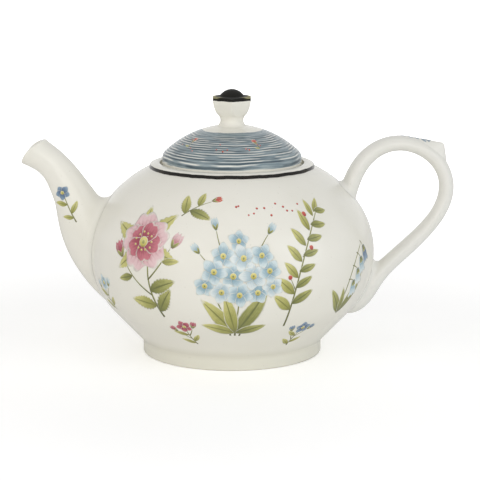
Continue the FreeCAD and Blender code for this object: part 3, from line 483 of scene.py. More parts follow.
@dataclass(frozen=True)
class FootGlaze(Glaze):
    """The foot ring's glaze, wiped off the sole that stands on the table."""

    sole: Colour = paint(214, 205, 188)
    grit: Colour = paint(192, 180, 160)
    dull: float = 0.6
    wiped: float = 0.25 * MM

    def decorate(self, wires: Wiring, skin: Sockets, effects: Effects) -> Sockets:
        """Bares the clay of the sole."""
        place = wires.place()
        height = wires.split(place)[2]
        level = wires.math("ADD", height, wires.unsteady(place, scale=160.0, spread=0.2 * MM))
        bare = wires.edge(level, self.wiped, -0.1 * MM)
        gritty = wires.mix(wires.noise(place, scale=1500.0), self.sole, self.grit)
        return {
            "Base Color": wires.mix(bare, skin["Colour"], gritty),
            "Roughness": wires.linear(bare, self.dull, skin["Roughness"]),
        }


@dataclass(frozen=True, kw_only=True)
class EnamelPaint(Glaze):
    """One enamel colour of the print, sunk in the bowl's own glaze."""

    pale: Colour
    middle: Colour
    depth: Colour
    veins: float
    rib: float = 0.0
    body: float = 0.95

    def decorate(self, wires: Wiring, skin: Sockets, effects: Effects) -> Sockets:
        """Lays the enamel over the glaze."""
        wash = wires.group(
            effects.wash, Pale=self.pale, Middle=self.middle, Deep=self.depth,
            Veins=self.veins, Rib=self.rib, Body=self.body,
        )
        return {"Base Color": wires.mix(wash["Cover"], skin["Colour"], wash["Colour"])}


class Enamel(Enum):
    """The colours of the print."""

    SKY = EnamelPaint(
        "enamel_sky", pale=paint(212, 226, 229), middle=paint(155, 186, 199),
        depth=paint(84, 124, 149), veins=0.55,
    )
    MIST = EnamelPaint(
        "enamel_mist", pale=paint(226, 234, 234), middle=paint(182, 203, 211),
        depth=paint(112, 146, 167), veins=0.5,
    )
    INDIGO = EnamelPaint(
        "enamel_indigo", pale=paint(128, 154, 178), middle=paint(84, 112, 145),
        depth=paint(48, 68, 104), veins=0.5,
    )
    BLUSH = EnamelPaint(
        "enamel_blush", pale=paint(229, 197, 200), middle=paint(200, 132, 143),
        depth=paint(154, 60, 84), veins=0.6,
    )
    CRIMSON = EnamelPaint(
        "enamel_crimson", pale=paint(195, 105, 121), middle=paint(163, 57, 82),
        depth=paint(114, 30, 51), veins=0.6,
    )
    OLIVE = EnamelPaint(
        "enamel_olive", pale=paint(203, 199, 124), middle=paint(168, 167, 86),
        depth=paint(112, 115, 50), veins=0.35, rib=0.8,
    )
    MOSS = EnamelPaint(
        "enamel_moss", pale=paint(175, 175, 103), middle=paint(139, 142, 71),
        depth=paint(90, 95, 43), veins=0.35, rib=0.8,
    )
    STALK = EnamelPaint(
        "enamel_stalk", pale=paint(136, 138, 70), middle=paint(120, 124, 58),
        depth=paint(88, 90, 44), veins=0.0,
    )
    POLLEN = EnamelPaint(
        "enamel_pollen", pale=paint(226, 214, 130), middle=paint(206, 194, 96),
        depth=paint(150, 142, 62), veins=0.2,
    )
    BERRY = EnamelPaint(
        "enamel_berry", pale=paint(206, 92, 70), middle=paint(180, 60, 52),
        depth=paint(150, 44, 44), veins=0.0,
    )
    SLATE = EnamelPaint(
        "enamel_slate", pale=paint(170, 184, 194), middle=paint(130, 148, 164),
        depth=paint(92, 110, 132), veins=0.4, rib=0.5,
    )


@dataclass
class StrokeForm:
    """A flat stroke modelled from a grid, with its foot at the origin and its tip one unit up."""

    name: str
    columns: int
    rows: int
    made: bpy.types.Object = field(init=False)

    def __post_init__(self) -> None:
        """Adds the grid and opens it for editing."""
        bpy.ops.object.select_all(action="DESELECT")
        bpy.ops.mesh.primitive_grid_add(
            x_subdivisions=self.columns, y_subdivisions=self.rows, size=1.0, location=(0.0, 0.5, 0.0)
        )
        self.made = bpy.context.object
        self.made.name = self.name
        bpy.ops.object.transform_apply(location=True, rotation=False, scale=False)
        bpy.ops.object.mode_set(mode="EDIT")

    def pick(self, wanted: Callable[[int, int], bool]) -> None:
        """Selects some points of the grid.

        Args:
            wanted: tells of a row and a column whether the point there is selected.
        """
        mesh = bmesh.from_edit_mesh(self.made.data)
        for point in mesh.verts:
            point.select = wanted(*divmod(point.index, self.columns + 1))
        mesh.select_mode = {"VERT"}
        mesh.select_flush_mode()
        bmesh.update_edit_mesh(self.made.data)

    def widen(self, width: Curve) -> None:
        """Scales each row across.

        Args:
            width: the row's width at its share of the length.
        """
        for row in range(self.rows + 1):
            share = row / self.rows
            self.pick(lambda at, _, kept=row: at == kept)
            bpy.ops.transform.resize(value=(width(share), 1.0, 1.0), center_override=(0.0, share, 0.0))

    def arch(self, rows: int, rise: Curve) -> None:
        """Slides the points of the top rows up or down by their place across.

        Args:
            rows: how many rows at the tip are moved.
            rise: the move at a place from -1 to 1 across.
        """
        for column in range(self.columns + 1):
            across = 2.0 * column / self.columns - 1.0
            for step in range(rows):
                share = (rows - step) / rows
                self.pick(lambda at, over, row=self.rows - step, side=column: at == row and over == side)
                bpy.ops.transform.translate(value=(0.0, rise(across) * share, 0.0))

    def bend(self, degrees: float, length: float) -> None:
        """Curls the stroke sideways, row by row.

        Args:
            degrees: the whole turn, positive to the left.
            length: the stroke's length.
        """
        each = math.radians(degrees) / self.rows
        reach = length / self.rows
        heading = 0.0
        foot = Vector(ORIGIN)
        for row in range(1, self.rows + 1):
            self.pick(lambda at, _, first=row: at >= first)
            bpy.ops.transform.rotate(value=-each, orient_axis="Z", center_override=foot)
            heading += each
            foot = foot + Vector((-math.sin(heading) * reach, math.cos(heading) * reach, 0.0))

    def close(self) -> bpy.types.Object:
        """Leaves edit mode and puts the form out of sight.

        Returns:
            The form, to be copied.
        """
        bpy.ops.object.mode_set(mode="OBJECT")
        for collection in list(self.made.users_collection):
            collection.objects.unlink(self.made)
        return self.made


def swelling(foot: float, begin: float, run: float, power: float) -> Curve:
    """The widths of a petal that swells from its foot along a run of half a wave."""
    return lambda t: foot + (1.0 - foot) * math.sin(math.pi * min(1.0, begin + t * run)) ** power


def pointed(foot: float, power: float, notch: float = 1.0, rows: int = 1) -> Curve:
    """The widths of a leaf that runs out in a point.

    Args:
        foot: the width at the foot.
        power: how low its widest place lies.
        notch: the share of the width that is left between two teeth.
        rows: how many rows the leaf has, of which every second one is notched.

    Returns:
        The width at a share of the length.
    """
    begin, run = 0.02, 0.97

    def width(t: float) -> float:
        """The width there, notched or not."""
        full = foot + (1.0 - foot) * math.sin(math.pi * (begin + run * t ** power))
        return full if round(t * rows) % 2 else full * notch

    return width


def flared(t: float) -> float:
    """The widths of a bell, from a quick shoulder to a wide mouth."""
    return 0.34 + 0.40 * math.sin(math.pi * 0.5 * min(1.0, t * 2.2)) + 0.26 * t ** 4


def circular(t: float) -> float:
    """The widths of a dot, blunt at both ends."""
    return max(0.34, math.sqrt(max(0.0, 1.0 - (2.0 * t - 1.0) ** 2)))


@dataclass(frozen=True)
class Recipe:
    """How a stroke is modelled: its grid, its widths, its arched rows at the tip and its curl in degrees."""

    name: str
    columns: int
    rows: int
    width: Curve
    arched: int = 0
    rise: Optional[Curve] = None
    curl: float = 0.0

    def model(self) -> bpy.types.Object:
        """Models the stroke.

        Returns:
            The finished form, to be copied.
        """
        form = StrokeForm(self.name, self.columns, self.rows)
        form.widen(self.width)
        if self.rise:
            form.arch(self.arched, self.rise)
        if self.curl:
            form.bend(self.curl, 1.0)
        return form.close()


class Shape(Enum):
    """The brush strokes that the print is made of."""

    ROUND = Recipe("round_petal", 6, 7, swelling(foot=0.30, begin=0.06, run=0.80, power=0.8),
                   arched=4, rise=lambda a: -0.26 * a * a)
    HEART = Recipe("heart_petal", 8, 8, swelling(foot=0.24, begin=0.04, run=0.70, power=0.9),
                   arched=5, rise=lambda a: 0.10 * math.sin(math.pi * abs(a)) - 0.12 - 0.20 * a ** 4)
    SLIM = Recipe("slim_petal", 4, 8, swelling(foot=0.22, begin=0.05, run=0.92, power=0.9),
                  arched=3, rise=lambda a: -0.12 * a * a)
    BELL = Recipe("bell_cup", 8, 8, flared,
                  arched=3, rise=lambda a: 0.09 * math.cos(math.pi * 3.0 * a) - 0.05)
    DOT = Recipe("dot", 6, 6, circular)
    LEAF = Recipe("plain_leaf", 6, 12, pointed(foot=0.04, power=0.85), curl=16.0)
    TOOTHED = Recipe("toothed_leaf", 6, 18, pointed(foot=0.05, power=0.8, notch=0.84, rows=18), curl=-10.0)


@dataclass
class StrokeBox:
    """The stroke forms, each modelled once and copied for every use."""

    row_length: float = 2.5
    fewest_rows: int = 8
    taper: float = 0.45
    stalks: dict[Triple, bpy.types.Object] = field(default_factory=dict)

    def __post_init__(self) -> None:
        """Models the petals, the bell, the dot and the leaves."""
        self.forms = {shape: shape.value.model() for shape in Shape}

    def stalk(self, length: float, width: float, bend: float) -> bpy.types.Object:
        """A stalk modelled at its real size in millimetres, thinning to its tip.

        Args:
            length: along the stalk.
            width: across its foot.
            bend: its whole turn in degrees, positive to the left.

        Returns:
            The modelled stalk, to be copied.
        """
        key = (length, width, bend)
        if key not in self.stalks:
            form = StrokeForm("stalk", 2, max(self.fewest_rows, round(length / self.row_length)))
            form.widen(lambda share: 1.0 - self.taper * share)
            form.pick(lambda row, column: True)
            bpy.ops.transform.resize(value=(width, length, 1.0), center_override=ORIGIN)
            if bend:
                form.bend(bend, length)
            self.stalks[key] = form.close()
        return self.stalks[key]


def alter(piece: bpy.types.Object, kind: str, **settings: object) -> None:
    """Adds a modifier to a piece and applies it.

    Args:
        piece: the active object.
        kind: the modifier's type.
        settings: properties to set on it.
    """
    modifier = piece.modifiers.new(kind.lower(), kind)
    for name, value in settings.items():
        setattr(modifier, name, value)
    bpy.ops.object.modifier_apply(modifier=modifier.name)


@dataclass
class Spray:
    """A printed spray, drawn flat in millimetres and then laid on the pot."""

    name: str
    box: StrokeBox
    colours: dict[Enamel, bpy.types.Material]
    seed: int
    scale: float = 1.0
    strokes: list[bpy.types.Object] = field(default_factory=list)
    layers: int = 30
    leaf_chance: float = 0.1
    leaf_swing: float = 7.0
    seat: float = 0.07 * MM
    rise: float = 0.36 * MM
    thickness: float = 0.10 * MM

    def __post_init__(self) -> None:
        """Starts the spray's own run of small irregularities."""
        self.chance = random.Random(self.seed)

    def lay(self, form: bpy.types.Object, matrix: Matrix, enamel: Enamel, layer: int) -> None:
        """Copies a form into the spray.

        Args:
            form: the modelled stroke.
            matrix: its place in the spray, in millimetres.
            enamel: its colour.
            layer: how many strokes lie under it.
        """
        copy = form.copy()
        copy.data = form.data.copy()
        copy.data.materials.clear()
        copy.data.materials.append(self.colours[enamel])
        bpy.context.scene.collection.objects.link(copy)
        copy.matrix_world = matrix
        group = copy.vertex_groups.new(name="lift")
        group.add(range(len(copy.data.vertices)), min(1.0, layer / self.layers), "REPLACE")
        self.strokes.append(copy)

    def stroke(self, shape: Shape, at: Point, turn: float, size: Point, enamel: Enamel, layer: int) -> None:
        """Adds one petal, leaf, bell or dot.

        Args:
            shape: which form.
            at: where its foot is.
            turn: degrees from upright, anticlockwise.
            size: its width and length.
            enamel: its colour.
            layer: how many strokes lie under it.
        """
        sized = Matrix.Diagonal((*size, 1.0, 1.0))
        self.lay(self.box.forms[shape], placed(at, turn) @ sized, enamel, layer)

    def dot(self, at: Point, width: float, enamel: Enamel, layer: int) -> None:
        """Adds a round dot centred on a point."""
        self.stroke(Shape.DOT, (at[0], at[1] - width / 2.0), 0.0, (width, width), enamel, layer)

    def stalk(
        self, at: Point, turn: float, length: float, bend: float, width: float, enamel: Enamel = Enamel.STALK
    ) -> Stem:
        """Adds a stalk.

        Args:
            at: its foot.
            turn: its first heading, degrees from upright, anticlockwise.
            length: along it.
            bend: its whole turn.
            width: across its foot.
            enamel: its colour.

        Returns:
            A function from a share of the length, and a lean, to the point there and its leaning heading.
        """
        matrix = placed(at, turn)
        self.lay(self.box.stalk(length, width, bend), matrix, enamel, 0)

        def along(share: float, lean: float = 0.0) -> tuple[Point, float]:
            """The point at a share of the stalk, and the heading there with a lean."""
            angle = math.radians(bend) * share
            local = Vector((0.0, length * share, 0.0))
            if bend:
                radius = length / math.radians(bend)
                local = Vector((-radius * (1.0 - math.cos(angle)), radius * math.sin(angle), 0.0))
            point = matrix @ local
            return (point.x, point.y), turn + math.degrees(angle) + lean

        return along

    def leaf(
        self, at: Point, turn: float, length: float, shape: Shape = Shape.LEAF,
        enamel: Enamel = Enamel.OLIVE, layer: int = 2, breadth: float = 0.42,
    ) -> None:
        """Adds one leaf with a little chance in its size and turn.

        Args:
            at: its foot.
            turn: degrees from upright, anticlockwise.
            length: about how long it is.
            shape: plain or toothed.
            enamel: its colour.
            layer: how many strokes lie under it.
            breadth: its width as a share of its length.
        """
        long = length * self.chance.uniform(1.0 - self.leaf_chance, 1.0 + self.leaf_chance)
        swing = turn + self.chance.uniform(-self.leaf_swing, self.leaf_swing)
        self.stroke(shape, at, swing, (long * breadth, long), enamel, layer)

    def rose(self, at: Point, across: float, outer: Enamel, inner: Enamel, turn: float) -> None:
        """Adds an open wild rose: two rings of heart petals round a crown of stamens.

        Args:
            at: its middle.
            across: its width.
            outer: the colour of the outer ring.
            inner: the colour of the inner ring.
            turn: the heading of the first petal.
        """
        petals, stamens = 5, 11
        crown, tip, eye = across * 0.17, across * 0.036, across * 0.07
        rings = ((outer, 0.50, 0.50, 0.0, 8), (inner, 0.34, 0.33, 0.5, 18))
        for colour, reach, breadth, twist, base in rings:
            for petal in range(petals):
                heading = turn + 360.0 / petals * (petal + twist)
                long = across * reach * self.chance.uniform(0.94, 1.05)
                self.stroke(Shape.HEART, at, heading, (across * breadth, long), colour, base + petal)
        self.dot(at, crown, Enamel.POLLEN, layer=26)
        for stamen in range(stamens):
            angle = math.tau * stamen / stamens
            reach = across * self.chance.uniform(0.13, 0.17)
            spot = (at[0] + reach * math.cos(angle), at[1] + reach * math.sin(angle))
            self.dot(spot, tip, Enamel.POLLEN, layer=28)
        self.dot(at, eye, Enamel.OLIVE, layer=30)

    def bloom(self, at: Point, across: float, colour: Enamel, base: int, turn: float) -> None:
        """Adds a small five-petalled flower with a pale eye.

        Args:
            at: its middle.
            across: its width.
            colour: of its petals.
            base: how many strokes lie under it.
            turn: the heading of the first petal.
        """
        petals, petal_length, petal_width = 5, across * 0.52, across * 0.44
        eye, pupil = across * 0.24, across * 0.09
        for petal in range(petals):
            heading = turn + 360.0 / petals * petal + self.chance.uniform(-6.0, 6.0)
            long = petal_length * self.chance.uniform(0.93, 1.06)
            self.stroke(Shape.ROUND, at, heading, (petal_width, long), colour, base + petal % 3)
        self.dot(at, eye, Enamel.POLLEN, base + 4)
        self.dot(at, pupil, Enamel.MOSS, base + 5)

    def bud(self, at: Point, turn: float, length: float, colour: Enamel, base: int = 4) -> None:
        """Adds a closed bud in its cup.

        Args:
            at: its foot.
            turn: its heading.
            length: from foot to tip.
            colour: of its petals.
            base: how many strokes lie under it.
        """
        petal, sepal = (length * 0.42, length), (length * 0.20, length * 0.55)
        for layer, lean in enumerate((-13.0, 13.0, 0.0)):
            self.stroke(Shape.SLIM, at, turn + lean, petal, colour, base + layer)
        for lean in (-26.0, 26.0):
            self.stroke(Shape.LEAF, at, turn + lean, sepal, Enamel.MOSS, base + 4)

    def bell(self, at: Point, turn: float, length: float, colour: Enamel, base: int) -> None:
        """Adds a hanging bell with its cap.

        Args:
            at: its foot, where it hangs.
            turn: its heading.
            length: from foot to mouth.
            colour: of the cup.
            base: how many strokes lie under it.
        """
        cup, sepal = (length * 0.78, length), (length * 0.16, length * 0.40)
        self.stroke(Shape.BELL, at, turn, cup, colour, base)
        for lean in (-24.0, 0.0, 24.0):
            self.stroke(Shape.LEAF, at, turn + lean, sepal, Enamel.MOSS, base + 2)

    def gather(self) -> bpy.types.Object:
        """Joins the strokes into one flat piece, in metres at the origin.

        Returns:
            The joined piece.
        """
        bpy.ops.object.select_all(action="DESELECT")
        for stroke in self.strokes:
            stroke.select_set(True)
        bpy.context.view_layer.objects.active = self.strokes[0]
        bpy.ops.object.transform_apply(location=True, rotation=True, scale=True)
        bpy.ops.object.join()
        piece = bpy.context.object
        piece.name = self.name
        piece.data.name = self.name
        drawn = MM * self.scale
        bpy.ops.transform.resize(value=(drawn, drawn, drawn), center_override=ORIGIN)
        bpy.ops.object.transform_apply(location=True, rotation=True, scale=True)
        bpy.ops.object.shade_smooth()
        return piece

    def settle(self, carrier: bpy.types.Object, spot: Matrix, body: str, slot: str) -> None:
        """Lays the spray on what carries it.

        Args:
            carrier: the node it is printed on.
            spot: where its middle goes, with local Z out of the surface.
            body: the body that it moves with.
            slot: not used.
        """
        piece = self.gather()
        piece.matrix_world = spot
        alter(piece, "SHRINKWRAP", target=carrier, wrap_method="PROJECT", wrap_mode="ABOVE_SURFACE",
              use_project_z=True, use_negative_direction=True, use_positive_direction=False, offset=self.seat)
        alter(piece, "DISPLACE", direction="NORMAL", vertex_group="lift", mid_level=0.0, strength=self.rise)
        alter(piece, "SOLIDIFY", thickness=self.thickness, offset=-1.0)
        bpy.ops.object.transform_apply(location=True, rotation=True, scale=True)
        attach(piece, body)
        LOG.info("%s: %d faces", piece.name, len(piece.data.polygons))


class Seat:
    """Finds places on a node's surface by casting rays at it."""

    def __init__(self, node: str, standoff: float = 30.0 * MM) -> None:
        """Reads the node's faces.

        Args:
            node: the node's name.
            standoff: how far off the surface a spray waits to be laid.
        """
        self.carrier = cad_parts[node]
        self.standoff = standoff
        self.faces = BVHTree.FromObject(self.carrier, bpy.context.evaluated_depsgraph_get())

    def spot(
        self, start: Vector, heading: Vector, tilt: float = 0.0, upright: Triple = (0.0, 0.0, 1.0)
    ) -> Matrix:
        """The frame of the first point that a ray meets.

        Args:
            start: where the ray starts.
            heading: where it goes.
            tilt: how far the spray is turned on the surface, in degrees anticlockwise.
            upright: the direction that the spray grows in.

        Returns:
            The spray's frame, standing off along the surface's normal.
        """
        point, normal, _, _ = self.faces.ray_cast(start, heading)
        if normal.dot(heading) > 0.0:
            normal = -normal
        up = Vector(upright)
        up = (up - normal * up.dot(normal)).normalized()
        turned = Matrix((up.cross(normal), up, normal)).transposed().to_4x4()
        return Matrix.Translation(point + normal * self.standoff) @ turned @ placed((0.0, 0.0), tilt)


class Finish(Enum):
    """The glazes of the solids, by the node that wears each."""

    pot_body = RimGlaze("glaze_bowl")
    foot_ring = FootGlaze("glaze_foot_ring")
    spout = Glaze("glaze_pouring_spout")
    spout_strainer = Glaze("glaze_strainer", gloss=0.24)
    # The handle wears the bowl's glaze in a darker, cooler tone: painted shade.
    handle = Glaze("glaze_loop_handle_painted_shade", tone=paint(235, 234, 228), deep=paint(227, 226, 217))
    lid_dome = BandedGlaze("glaze_banded_lid")
    lid_flange = Glaze("glaze_flange", gloss=0.22)
    knob = CappedGlaze("glaze_capped_knob", shine=0.1)


@dataclass
class Pot:
    """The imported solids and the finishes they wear."""

    effects: Effects

    def dress(self) -> None:
        """Gives each solid its glaze."""
        for finish in Finish:
            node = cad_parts[finish.name]
            glaze = finish.value.make(self.effects)
            for slot in node.material_slots:
                slot.material = glaze
            LOG.info("%s wears %s", finish.name, glaze.name)


class Motifs:
    """The sprays of the print, each drawn about its own middle in millimetres."""

    @staticmethod
    def rose(spray: Spray) -> None:
        """An open rose and two buds on one curved stalk with toothed leaves."""
        stem = spray.stalk((7.0, -29.0), 22.0, 34.0, bend=-34.0, width=1.1)
        side = spray.stalk(stem(0.30)[0], 62.0, 24.0, bend=-34.0, width=0.8)
        twig = spray.stalk(stem(0.50)[0], -52.0, 20.0, bend=26.0, width=0.8)
        for step, (share, lean) in enumerate(((0.08, -58.0), (0.16, 64.0), (0.36, -72.0))):
            colour = Enamel.OLIVE if lean > 0 else Enamel.MOSS
            spray.leaf(*stem(share, lean), 14.5, Shape.TOOTHED, colour, 2 + step, breadth=0.48)
        leaves = ((122.0, 21.0), (-104.0, 20.0), (62.0, 20.0), (-40.0, 20.0), (12.0, 19.0))
        for step, (turn, long) in enumerate(leaves):
            spray.leaf((0.0, 3.0), turn, long, Shape.TOOTHED, layer=2 + step % 3, breadth=0.46)
        spray.bud(*side(1.0), 9.0, Enamel.CRIMSON)
        spray.leaf(*side(0.55, 52.0), 9.0, Shape.TOOTHED, Enamel.MOSS, layer=3, breadth=0.46)
        spray.bud(*twig(1.0), 8.0, Enamel.BLUSH)
        spray.leaf(*twig(0.6, -50.0), 8.5, Shape.TOOTHED, layer=7, breadth=0.46)
        spray.rose((0.0, 5.0), 29.0, Enamel.BLUSH, Enamel.CRIMSON, turn=10.0)

    @staticmethod
    def posy(spray: Spray) -> None:
        """A full cluster of small blue flowers over slim leaves."""
        for foot, bend in ((-5.0, 18.0), (0.0, -4.0), (5.0, -20.0)):
            spray.stalk((foot * 0.4, -29.0), -foot * 3.0, 27.0, bend, width=0.9)
        leaves = ((40.0, 24.0), (-38.0, 26.0), (70.0, 16.0), (-72.0, 17.0), (14.0, 20.0))
        for step, (turn, long) in enumerate(leaves):
            colour = Enamel.OLIVE if turn > 0 else Enamel.MOSS
            spray.leaf((0.0, -27.0), turn, long, enamel=colour, layer=2 + step, breadth=0.30)
        heads = (
            (-16.0, -3.0, 11.0), (-8.0, -5.5, 12.0), (0.5, -6.5, 12.0), (9.0, -5.0, 12.0), (16.0, -2.0, 10.5),
            (-12.0, 4.0, 12.5), (-3.0, 2.5, 13.0), (6.5, 3.0, 13.0), (14.0, 5.5, 11.5), (-8.0, 11.5, 12.0),
            (1.5, 11.0, 12.5), (10.0, 12.5, 11.0), (-1.0, 18.5, 10.0),
        )
        for place, (x, y, across) in enumerate(heads):
            colour = (Enamel.SKY, Enamel.MIST, Enamel.SKY)[place % 3]
            spray.bloom((x, y), across, colour, base=8 + (place % 3) * 8, turn=24.0 * place)
        shoots = (((-9.0, 14.0), 22.0, 9.0), ((9.0, 15.0), -24.0, 8.0), ((-14.0, 7.0), 52.0, 7.0))
        for foot, turn, long in shoots:
            tip = spray.stalk(foot, turn, long, bend=-10.0, width=0.6)(1.0)
            spray.bud(*tip, 5.5, Enamel.SKY, base=3)

    @staticmethod
    def twig(spray: Spray) -> None:
        """A long arching twig with paired leaves and a few berries."""
        twig = spray.stalk((-16.0, -28.0), 6.0, 66.0, bend=-58.0, width=1.0)
        for pair in range(7):
            share = 0.14 + 0.125 * pair
            long = 13.5 - 0.75 * pair
            spray.leaf(*twig(share, 52.0), long)
            spray.leaf(*twig(share + 0.05, -54.0), long * 0.92, enamel=Enamel.MOSS, layer=4)
        spray.leaf(*twig(0.93), 9.0, breadth=0.36)
        for share, lean in ((0.30, 34.0), (0.55, -30.0), (0.78, 36.0)):
            tip = spray.stalk(*twig(share, lean), 7.0, bend=0.0, width=0.5)(1.0)[0]
            spray.dot(tip, 2.4, Enamel.BERRY, layer=6)

    @staticmethod
    def bells(spray: Spray) -> None:
        """A nodding stalk of blue bells."""
        stem = spray.stalk((-4.0, -21.0), 16.0, 40.0, bend=-66.0, width=0.9)
        bells = (
            (0.46, 4.5, Enamel.SKY), (0.64, 5.0, Enamel.MIST),
            (0.82, 4.5, Enamel.SKY), (1.0, 3.5, Enamel.INDIGO),
        )
        for step, (share, drop, colour) in enumerate(bells):
            foot = spray.stalk(*stem(share, -70.0), drop, bend=-30.0, width=0.6)(1.0)[0]
            spray.bell(foot, -168.0 + 10.0 * share, 9.0, colour, base=6 + step)
        for step, (turn, long) in enumerate(((40.0, 19.0), (-30.0, 23.0), (12.0, 15.0))):
            spray.leaf((-4.0, -20.5), turn, long, enamel=Enamel.MOSS, layer=2 + step, breadth=0.24)

    @staticmethod
    def buds(spray: Spray, colour: Enamel) -> None:
        """A little sprig of one open flower and two buds.

        Args:
            spray: what it is drawn in.
            colour: of its petals.
        """
        stem = spray.stalk((0.0, -9.0), 10.0, 15.0, bend=-22.0, width=0.7)
        left = spray.stalk(stem(0.35)[0], 40.0, 8.0, bend=-12.0, width=0.6)
        right = spray.stalk(stem(0.5)[0], -46.0, 7.5, bend=14.0, width=0.6)
        for branch in (left, right):
            spray.bud(*branch(1.0), 5.0, colour)
        spray.bloom(stem(1.0)[0], 8.6, colour, base=6, turn=15.0)
        for step, (share, lean) in enumerate(((0.08, 48.0), (0.18, -52.0), (0.55, 60.0))):
            spray.leaf(*stem(share, lean), 7.5, layer=2 + step, breadth=0.40)

    @staticmethod
    def leaves(spray: Spray) -> None:
        """Three broad toothed leaves on a short stalk, with a bud at its tip."""
        stem = spray.stalk((0.0, -11.0), 6.0, 20.0, bend=-16.0, width=0.8)
        leaves = ((0.12, 54.0, 14.0), (0.30, -56.0, 14.0), (0.58, 44.0, 11.0))
        for step, (share, lean, long) in enumerate(leaves):
            colour = (Enamel.OLIVE, Enamel.MOSS)[step % 2]
            spray.leaf(*stem(share, lean), long, Shape.TOOTHED, colour, 2 + step, breadth=0.5)
        spray.bud(*stem(1.0), 6.5, Enamel.BERRY)

    @staticmethod
    def berries(spray: Spray) -> None:
        """A loose scatter of red dots."""
        for step in range(12):
            x = -18.0 + 3.3 * step + spray.chance.uniform(-1.2, 1.2)
            y = 2.6 * math.sin(1.9 * step) + spray.chance.uniform(-3.0, 3.0)
            spray.dot((x, y), spray.chance.uniform(1.0, 1.6), Enamel.BERRY, layer=1)

    @staticmethod
    def spout(spray: Spray) -> None:
        """A small dark blue flower on a leafy stalk."""
        stem = spray.stalk((2.0, -9.0), 12.0, 16.0, bend=-16.0, width=0.7)
        for step, (share, lean) in enumerate(((0.15, 46.0), (0.3, -48.0), (0.6, 52.0))):
            spray.leaf(*stem(share, lean), 6.5, layer=2 + step, breadth=0.40)
        spray.bloom(stem(1.0)[0], 7.6, Enamel.INDIGO, base=6, turn=10.0)

    @staticmethod
    def crown(spray: Spray) -> None:
        """A slim grey-blue sprig."""
        stem = spray.stalk((0.0, -9.0), 4.0, 18.0, bend=-8.0, width=0.6, enamel=Enamel.SLATE)
        for step in range(4):
            for lean in (38.0, -38.0):
                spray.leaf(*stem(0.10 + 0.22 * step, lean), 4.6, enamel=Enamel.SLATE, layer=2 + step)
        spray.bloom(stem(1.0)[0], 4.6, Enamel.SLATE, base=7, turn=0.0)

    @staticmethod
    def specks(spray: Spray) -> None:
        """Four small red dots, thrown at random."""
        for _ in range(4):
            x = spray.chance.uniform(-9.0, 9.0)
            y = spray.chance.uniform(-6.0, 6.0)
            spray.dot((x, y), spray.chance.uniform(0.9, 1.3), Enamel.BERRY, layer=1)

    @staticmethod
    def lid_bud(spray: Spray) -> None:
        """A red bud with one leaf among the dots."""
        tip = spray.stalk((0.0, -3.0), 20.0, 4.0, bend=-20.0, width=0.5)(1.0)
        spray.bud(*tip, 4.6, Enamel.BERRY)
        spray.leaf((0.0, -3.0), 70.0, 3.6, breadth=0.40)
        Motifs.specks(spray)


@dataclass(frozen=True)
class Print:
    """A spray on the bowl: its name, its motif, the seed of its irregularities and where it goes.

    The azimuth runs from the front, positive to the right, the height is in millimetres and the tilt
    turns the spray anticlockwise.
    """

    name: str
    motif: Callable[[Spray], None]
    seed: int
    azimuth: float
    height: float
    tilt: float = 0.0
    scale: float = 1.0


def buds_of(colour: Enamel) -> Callable[[Spray], None]:
    """The sprig of buds in one colour."""
    return partial(Motifs.buds, colour=colour)


FRONT_PRINTS = (
    Print("rose_front", Motifs.rose, 3, -37.0, 72.0, tilt=4.0, scale=1.20),
    Print("posy_front", Motifs.posy, 5, 3.0, 59.0, tilt=-3.0, scale=1.18),
    Print("twig_front", Motifs.twig, 7, 36.5, 63.0, tilt=2.0, scale=1.12),
    Print("bells_front", Motifs.bells, 11, 56.5, 56.0, tilt=-4.0, scale=1.15),
    Print("leaves_front", Motifs.leaves, 61, -16.0, 97.5, tilt=-54.0, scale=0.95),
    Print("buds_low_left", buds_of(Enamel.CRIMSON), 13, -20.0, 25.0, tilt=14.0, scale=1.15),
    Print("buds_left", buds_of(Enamel.SKY), 17, -62.0, 42.0, tilt=8.0, scale=1.2),
    Print("buds_low_right", buds_of(Enamel.INDIGO), 19, 33.0, 22.5, tilt=-12.0, scale=1.15),
    Print("berries_front", Motifs.berries, 23, 17.0, 97.0),
)
BACK_PRINTS = (
    Print("twig_back", Motifs.twig, 29, 128.0, 62.0, tilt=0.0, scale=1.12),
    Print("rose_back", Motifs.rose, 37, 162.0, 66.0, tilt=-8.0, scale=1.18),
    Print("posy_back", Motifs.posy, 31, 204.0, 60.0, tilt=4.0, scale=1.15),
    Print("bells_back", Motifs.bells, 41, 236.0, 56.0, tilt=0.0, scale=1.15),
    Print("buds_back_left", buds_of(Enamel.SKY), 43, 112.0, 34.0, tilt=10.0, scale=1.15),
    Print("buds_back_low", buds_of(Enamel.BLUSH), 47, 183.0, 25.0, tilt=-10.0, scale=1.15),
    Print("leaves_back", Motifs.leaves, 67, 222.0, 94.0, tilt=-44.0, scale=0.95),
    Print("berries_back", Motifs.berries, 53, 184.0, 97.0),
)


def outward(azimuth: float) -> Vector:
    """The level direction at an azimuth from the front, in degrees, positive to the right."""
    angle = math.radians(azimuth)
    return Vector((math.sin(angle), -math.cos(angle), 0.0))


